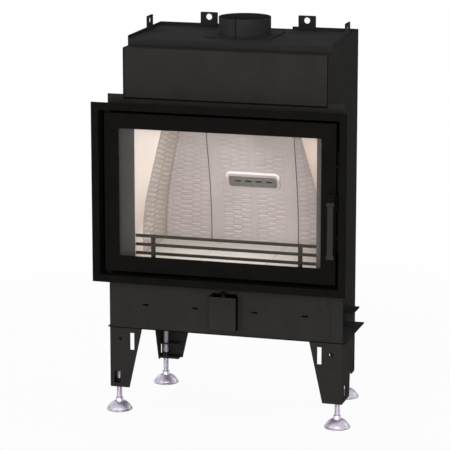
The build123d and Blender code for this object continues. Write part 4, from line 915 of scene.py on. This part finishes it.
# ---- feet
class INSERT_OT_feet(Operator):
    """Turn the four levelling feet: rim, dome, collar and threaded rod"""
    bl_idname = "insert.feet"
    bl_label = "Levelling feet"

    def execute(self, context):
        for corner in CORNERS:
            self.foot(corner, context.scene.insert_foot)
        return {"FINISHED"}

    def foot(self, name, settings):
        """Pad profile: flat flange, a step in, a dome that follows a sine, and a collar that narrows upwards.

        The rod's thread is a triangle wave of its height less its turn, and fades out at both ends."""
        low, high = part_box("foot_" + name)
        centre = ((low.x + high.x) / 2, (low.y + high.y) / 2, 0)
        pad_r, collar_r, rod_r = (high.x - low.x) / 2, 11.5 * MM, 8 * MM
        flange_z, dome_z, collar_z = 5 * MM, 24.5 * MM, 36 * MM
        ease = np.linspace(0, 1, 24)
        flange_r = pad_r - 3.2 * MM
        dome_r = flange_r - (flange_r - collar_r) * ease ** 1.15
        dome_h = flange_z + (dome_z - flange_z) * np.sin(ease * math.pi / 2) ** 0.85
        profile = [(pad_r - MM, 0), (pad_r, 0.8 * MM), (pad_r, 1.9 * MM), (pad_r, 2 * MM),
                   (pad_r - 0.2 * MM, 2.8 * MM), (pad_r - MM, 3.4 * MM), *zip(dome_r, dome_h),
                   (collar_r - MM, collar_z - MM), (collar_r - 2 * MM, collar_z),
                   (rod_r - MM, collar_z)]
        radius, height = np.array(profile).T[:, :, None]
        pad = turned(radius, height, centre, settings.steps), closed_tube_faces(len(profile), settings.steps)

        pitch, rod_length, steps = settings.thread_pitch, high.z - collar_z, 32
        rings = int(rod_length / pitch * 6) + 1
        z = np.linspace(0, rod_length, rings)[:, None]
        wave = np.abs(2 * np.mod(z / pitch - angles(steps) / (2 * math.pi), 1) - 1)
        taper = np.clip(np.minimum(z, rod_length - z) / (2 * MM), 0, 1)
        radius = rod_r - settings.thread_depth * (1 - wave) * taper - MM * (1 - taper)
        rod = turned(radius, collar_z - 0.5 * MM + z, centre, steps), closed_tube_faces(rings, steps)
        points, faces = joined([pad, rod])
        # the lowest 2 mm of the pad is marked for painted contact shadow
        piece("foot_turned_" + name, points, faces, "zinc_plate", "bright_steel", "foot_" + name, 40,
              {"contact_shade": points[:, 2] < 2 * MM}, "levelling_foot_" + name)


# ---- handle
class INSERT_OT_handle(Operator):
    """Round the edges of the handle's arm and slip the grip with its two end caps over it"""
    bl_idname = "insert.handle"
    bl_label = "Handle"

    def execute(self, context):
        """Grip: a box with soft corners along the bar, wider at its caps by half a wave."""
        rounded("handle_grip", "black_door_paint", 1.2, 3, body="latch")
        settings = context.scene.insert_door
        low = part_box("handle_grip")[0]
        bottom, top = low.z - 0.5 * MM, low.z + settings.grip_length
        z = np.concatenate([[bottom], np.linspace(bottom, top, 80), [top]])
        cap = np.clip(1 - np.minimum(z - bottom, top - z) / settings.cap_length, 0, 1)
        flare = 0.5 - 0.5 * np.cos(np.clip(cap * 3, 0, 1) * math.pi)
        half_x = settings.grip_width / 2 + 3 * MM * flare
        half_y = 3.6 * MM + 1.2 * MM * flare
        for half in (half_x, half_y):
            half[[0, -1]] -= MM
        x, y = soft_box(48, 6)
        points = np.stack([low.x + settings.grip_place + half_x[:, None] * x, low.y + 2 * MM + half_y[:, None] * y,
                           z[:, None] + 0 * x], -1)
        piece("handle_sleeve", points, closed_tube_faces(len(z), len(x)), "grip_sleeve", "dark_steel",
              "handle_grip", 35, {"cap": np.repeat(flare, len(x))}, "latch")
        return {"FINISHED"}


# ---- door rope
class INSERT_OT_door_rope(Operator):
    """Lay the plaited rope in the door's back, against which the seat closes"""
    bl_idname = "insert.door_rope"
    bl_label = "Door rope"

    def execute(self, context):
        """A round section swept along a rounded rectangle; crossing sines along and round it are the plait."""
        low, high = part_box("door_rope")
        middle_y, middle_z = (high.y + low.y) / 2, (high.z + low.z) / 2
        half_width, half_y, corner, steps = 6 * MM, (high.y - low.y) / 2, 14 * MM, 20
        corner_x = (high.x - low.x) / 2 - half_width - corner
        corner_z = (high.z - low.z) / 2 - half_width - corner
        arc = []
        for k, (sx, sz) in enumerate(((1, 1), (-1, 1), (-1, -1), (1, -1))):
            angle = np.linspace(0, math.pi / 2, 13) + k * math.pi / 2
            arc.append(np.stack([sx * corner_x + corner * np.cos(angle), sz * corner_z + corner * np.sin(angle)], -1))
        route = np.concatenate(arc + [arc[0][:1]])
        run = np.concatenate([[0], np.cumsum(np.hypot(*np.diff(route, axis=0).T))])
        count = int(run[-1] / (1.5 * MM))
        along = np.linspace(0, run[-1], count, endpoint=False)
        (x, ahead_x), (z, ahead_z) = [[np.interp(np.mod(along + ahead, run[-1]), run, way)
                                       for ahead in (0, 2 * MM)] for way in route.T]
        size = np.hypot(ahead_x - x, ahead_z - z)
        out_x, out_z = (ahead_z - z) / size, (x - ahead_x) / size
        plaits = round(run[-1] / context.scene.insert_door.plait)
        around = angles(steps)
        phase = math.pi * plaits * along[:, None] / run[-1]
        plait = 0.9 + 0.1 * np.maximum(np.abs(np.sin(phase + 2 * around)), np.abs(np.sin(phase - 2 * around)))
        wide = half_width * plait * np.cos(around)
        points = np.stack([x[:, None] + out_x[:, None] * wide, middle_y + half_y * plait * np.sin(around),
                           middle_z + z[:, None] + out_z[:, None] * wide], -1)
        piece("plaited_door_rope", points, grid_faces(count, steps, True, True).tolist(), "sealing_rope",
              "sealing_rope", "door_rope", 60, body="door")
        return {"FINISHED"}


# ---- small screws on the lever's box
class INSERT_OT_box_screws(Operator):
    """Add the small round-headed screws that hold the lever's box"""
    bl_idname = "insert.box_screws"
    bl_label = "Box screws"

    def execute(self, context):
        """Head: a quarter of an ellipse turned about the screw's axis, with a short shank behind it."""
        low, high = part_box("lever_box")
        cover_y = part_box("lower_cover")[0].y - 1.5 * MM
        head_r, head_h, tip_r, inset_x, inset_z = 3 * MM, 1.8 * MM, 0.15 * MM, 4.5 * MM, 12 * MM
        dome = np.linspace(0, math.pi / 2, 7)
        radius = np.maximum(np.concatenate([[head_r], head_r * np.cos(dome)]), tip_r)[:, None]
        depth = np.concatenate([[0.4 * MM], -head_h * np.sin(dome)])[:, None]
        shells = [(turned(radius, depth, (x, z, cover_y), 24)[..., [0, 2, 1]], closed_tube_faces(len(radius), 24))
                  for x in (low.x + inset_x, high.x - inset_x) for z in (low.z + inset_z, high.z - inset_z)]
        piece("box_screws", *joined(shells), "grey_body_paint", "body_paint", sharp=35)
        return {"FINISHED"}


# ---- panel and registering
OPERATORS = (INSERT_OT_stage, INSERT_OT_finishes, INSERT_OT_sheet_metal, INSERT_OT_shade_strips,
             INSERT_OT_lining, INSERT_OT_hearth, INSERT_OT_flue_collar, INSERT_OT_feet, INSERT_OT_handle,
             INSERT_OT_door_rope, INSERT_OT_box_screws)
SETTINGS = (("insert_stage", InsertStageSettings), ("insert_lining", InsertLiningSettings),
            ("insert_foot", InsertFootSettings), ("insert_door", InsertDoorSettings))


class INSERT_PT_panel(Panel):
    """Lists the steps that dress the insert, and the sizes that shape them"""
    bl_idname = "INSERT_PT_panel"
    bl_label = "Fireplace insert"
    bl_space_type = "VIEW_3D"
    bl_region_type = "UI"
    bl_category = "Insert"

    def draw(self, context):
        for operator in OPERATORS:
            self.layout.operator(operator.bl_idname)
        for name, group in SETTINGS:
            box = self.layout.box()
            box.label(text=group.__doc__)
            for field in group.__annotations__:
                box.prop(getattr(context.scene, name), field)


def register():
    for name, group in SETTINGS:
        bpy.utils.register_class(group)
        setattr(bpy.types.Scene, name, PointerProperty(type=group))
    for operator in OPERATORS:
        bpy.utils.register_class(operator)
    bpy.utils.register_class(INSERT_PT_panel)


def unregister():
    bpy.utils.unregister_class(INSERT_PT_panel)
    for operator in reversed(OPERATORS):
        bpy.utils.unregister_class(operator)
    for name, group in reversed(SETTINGS):
        delattr(bpy.types.Scene, name)
        bpy.utils.unregister_class(group)


def main():
    """Dress the frame: every step in order."""
    register()
    for operator in OPERATORS:
        package, name = operator.bl_idname.split(".")
        getattr(getattr(bpy.ops, package), name)()


if __name__ == "__main__":
    main()
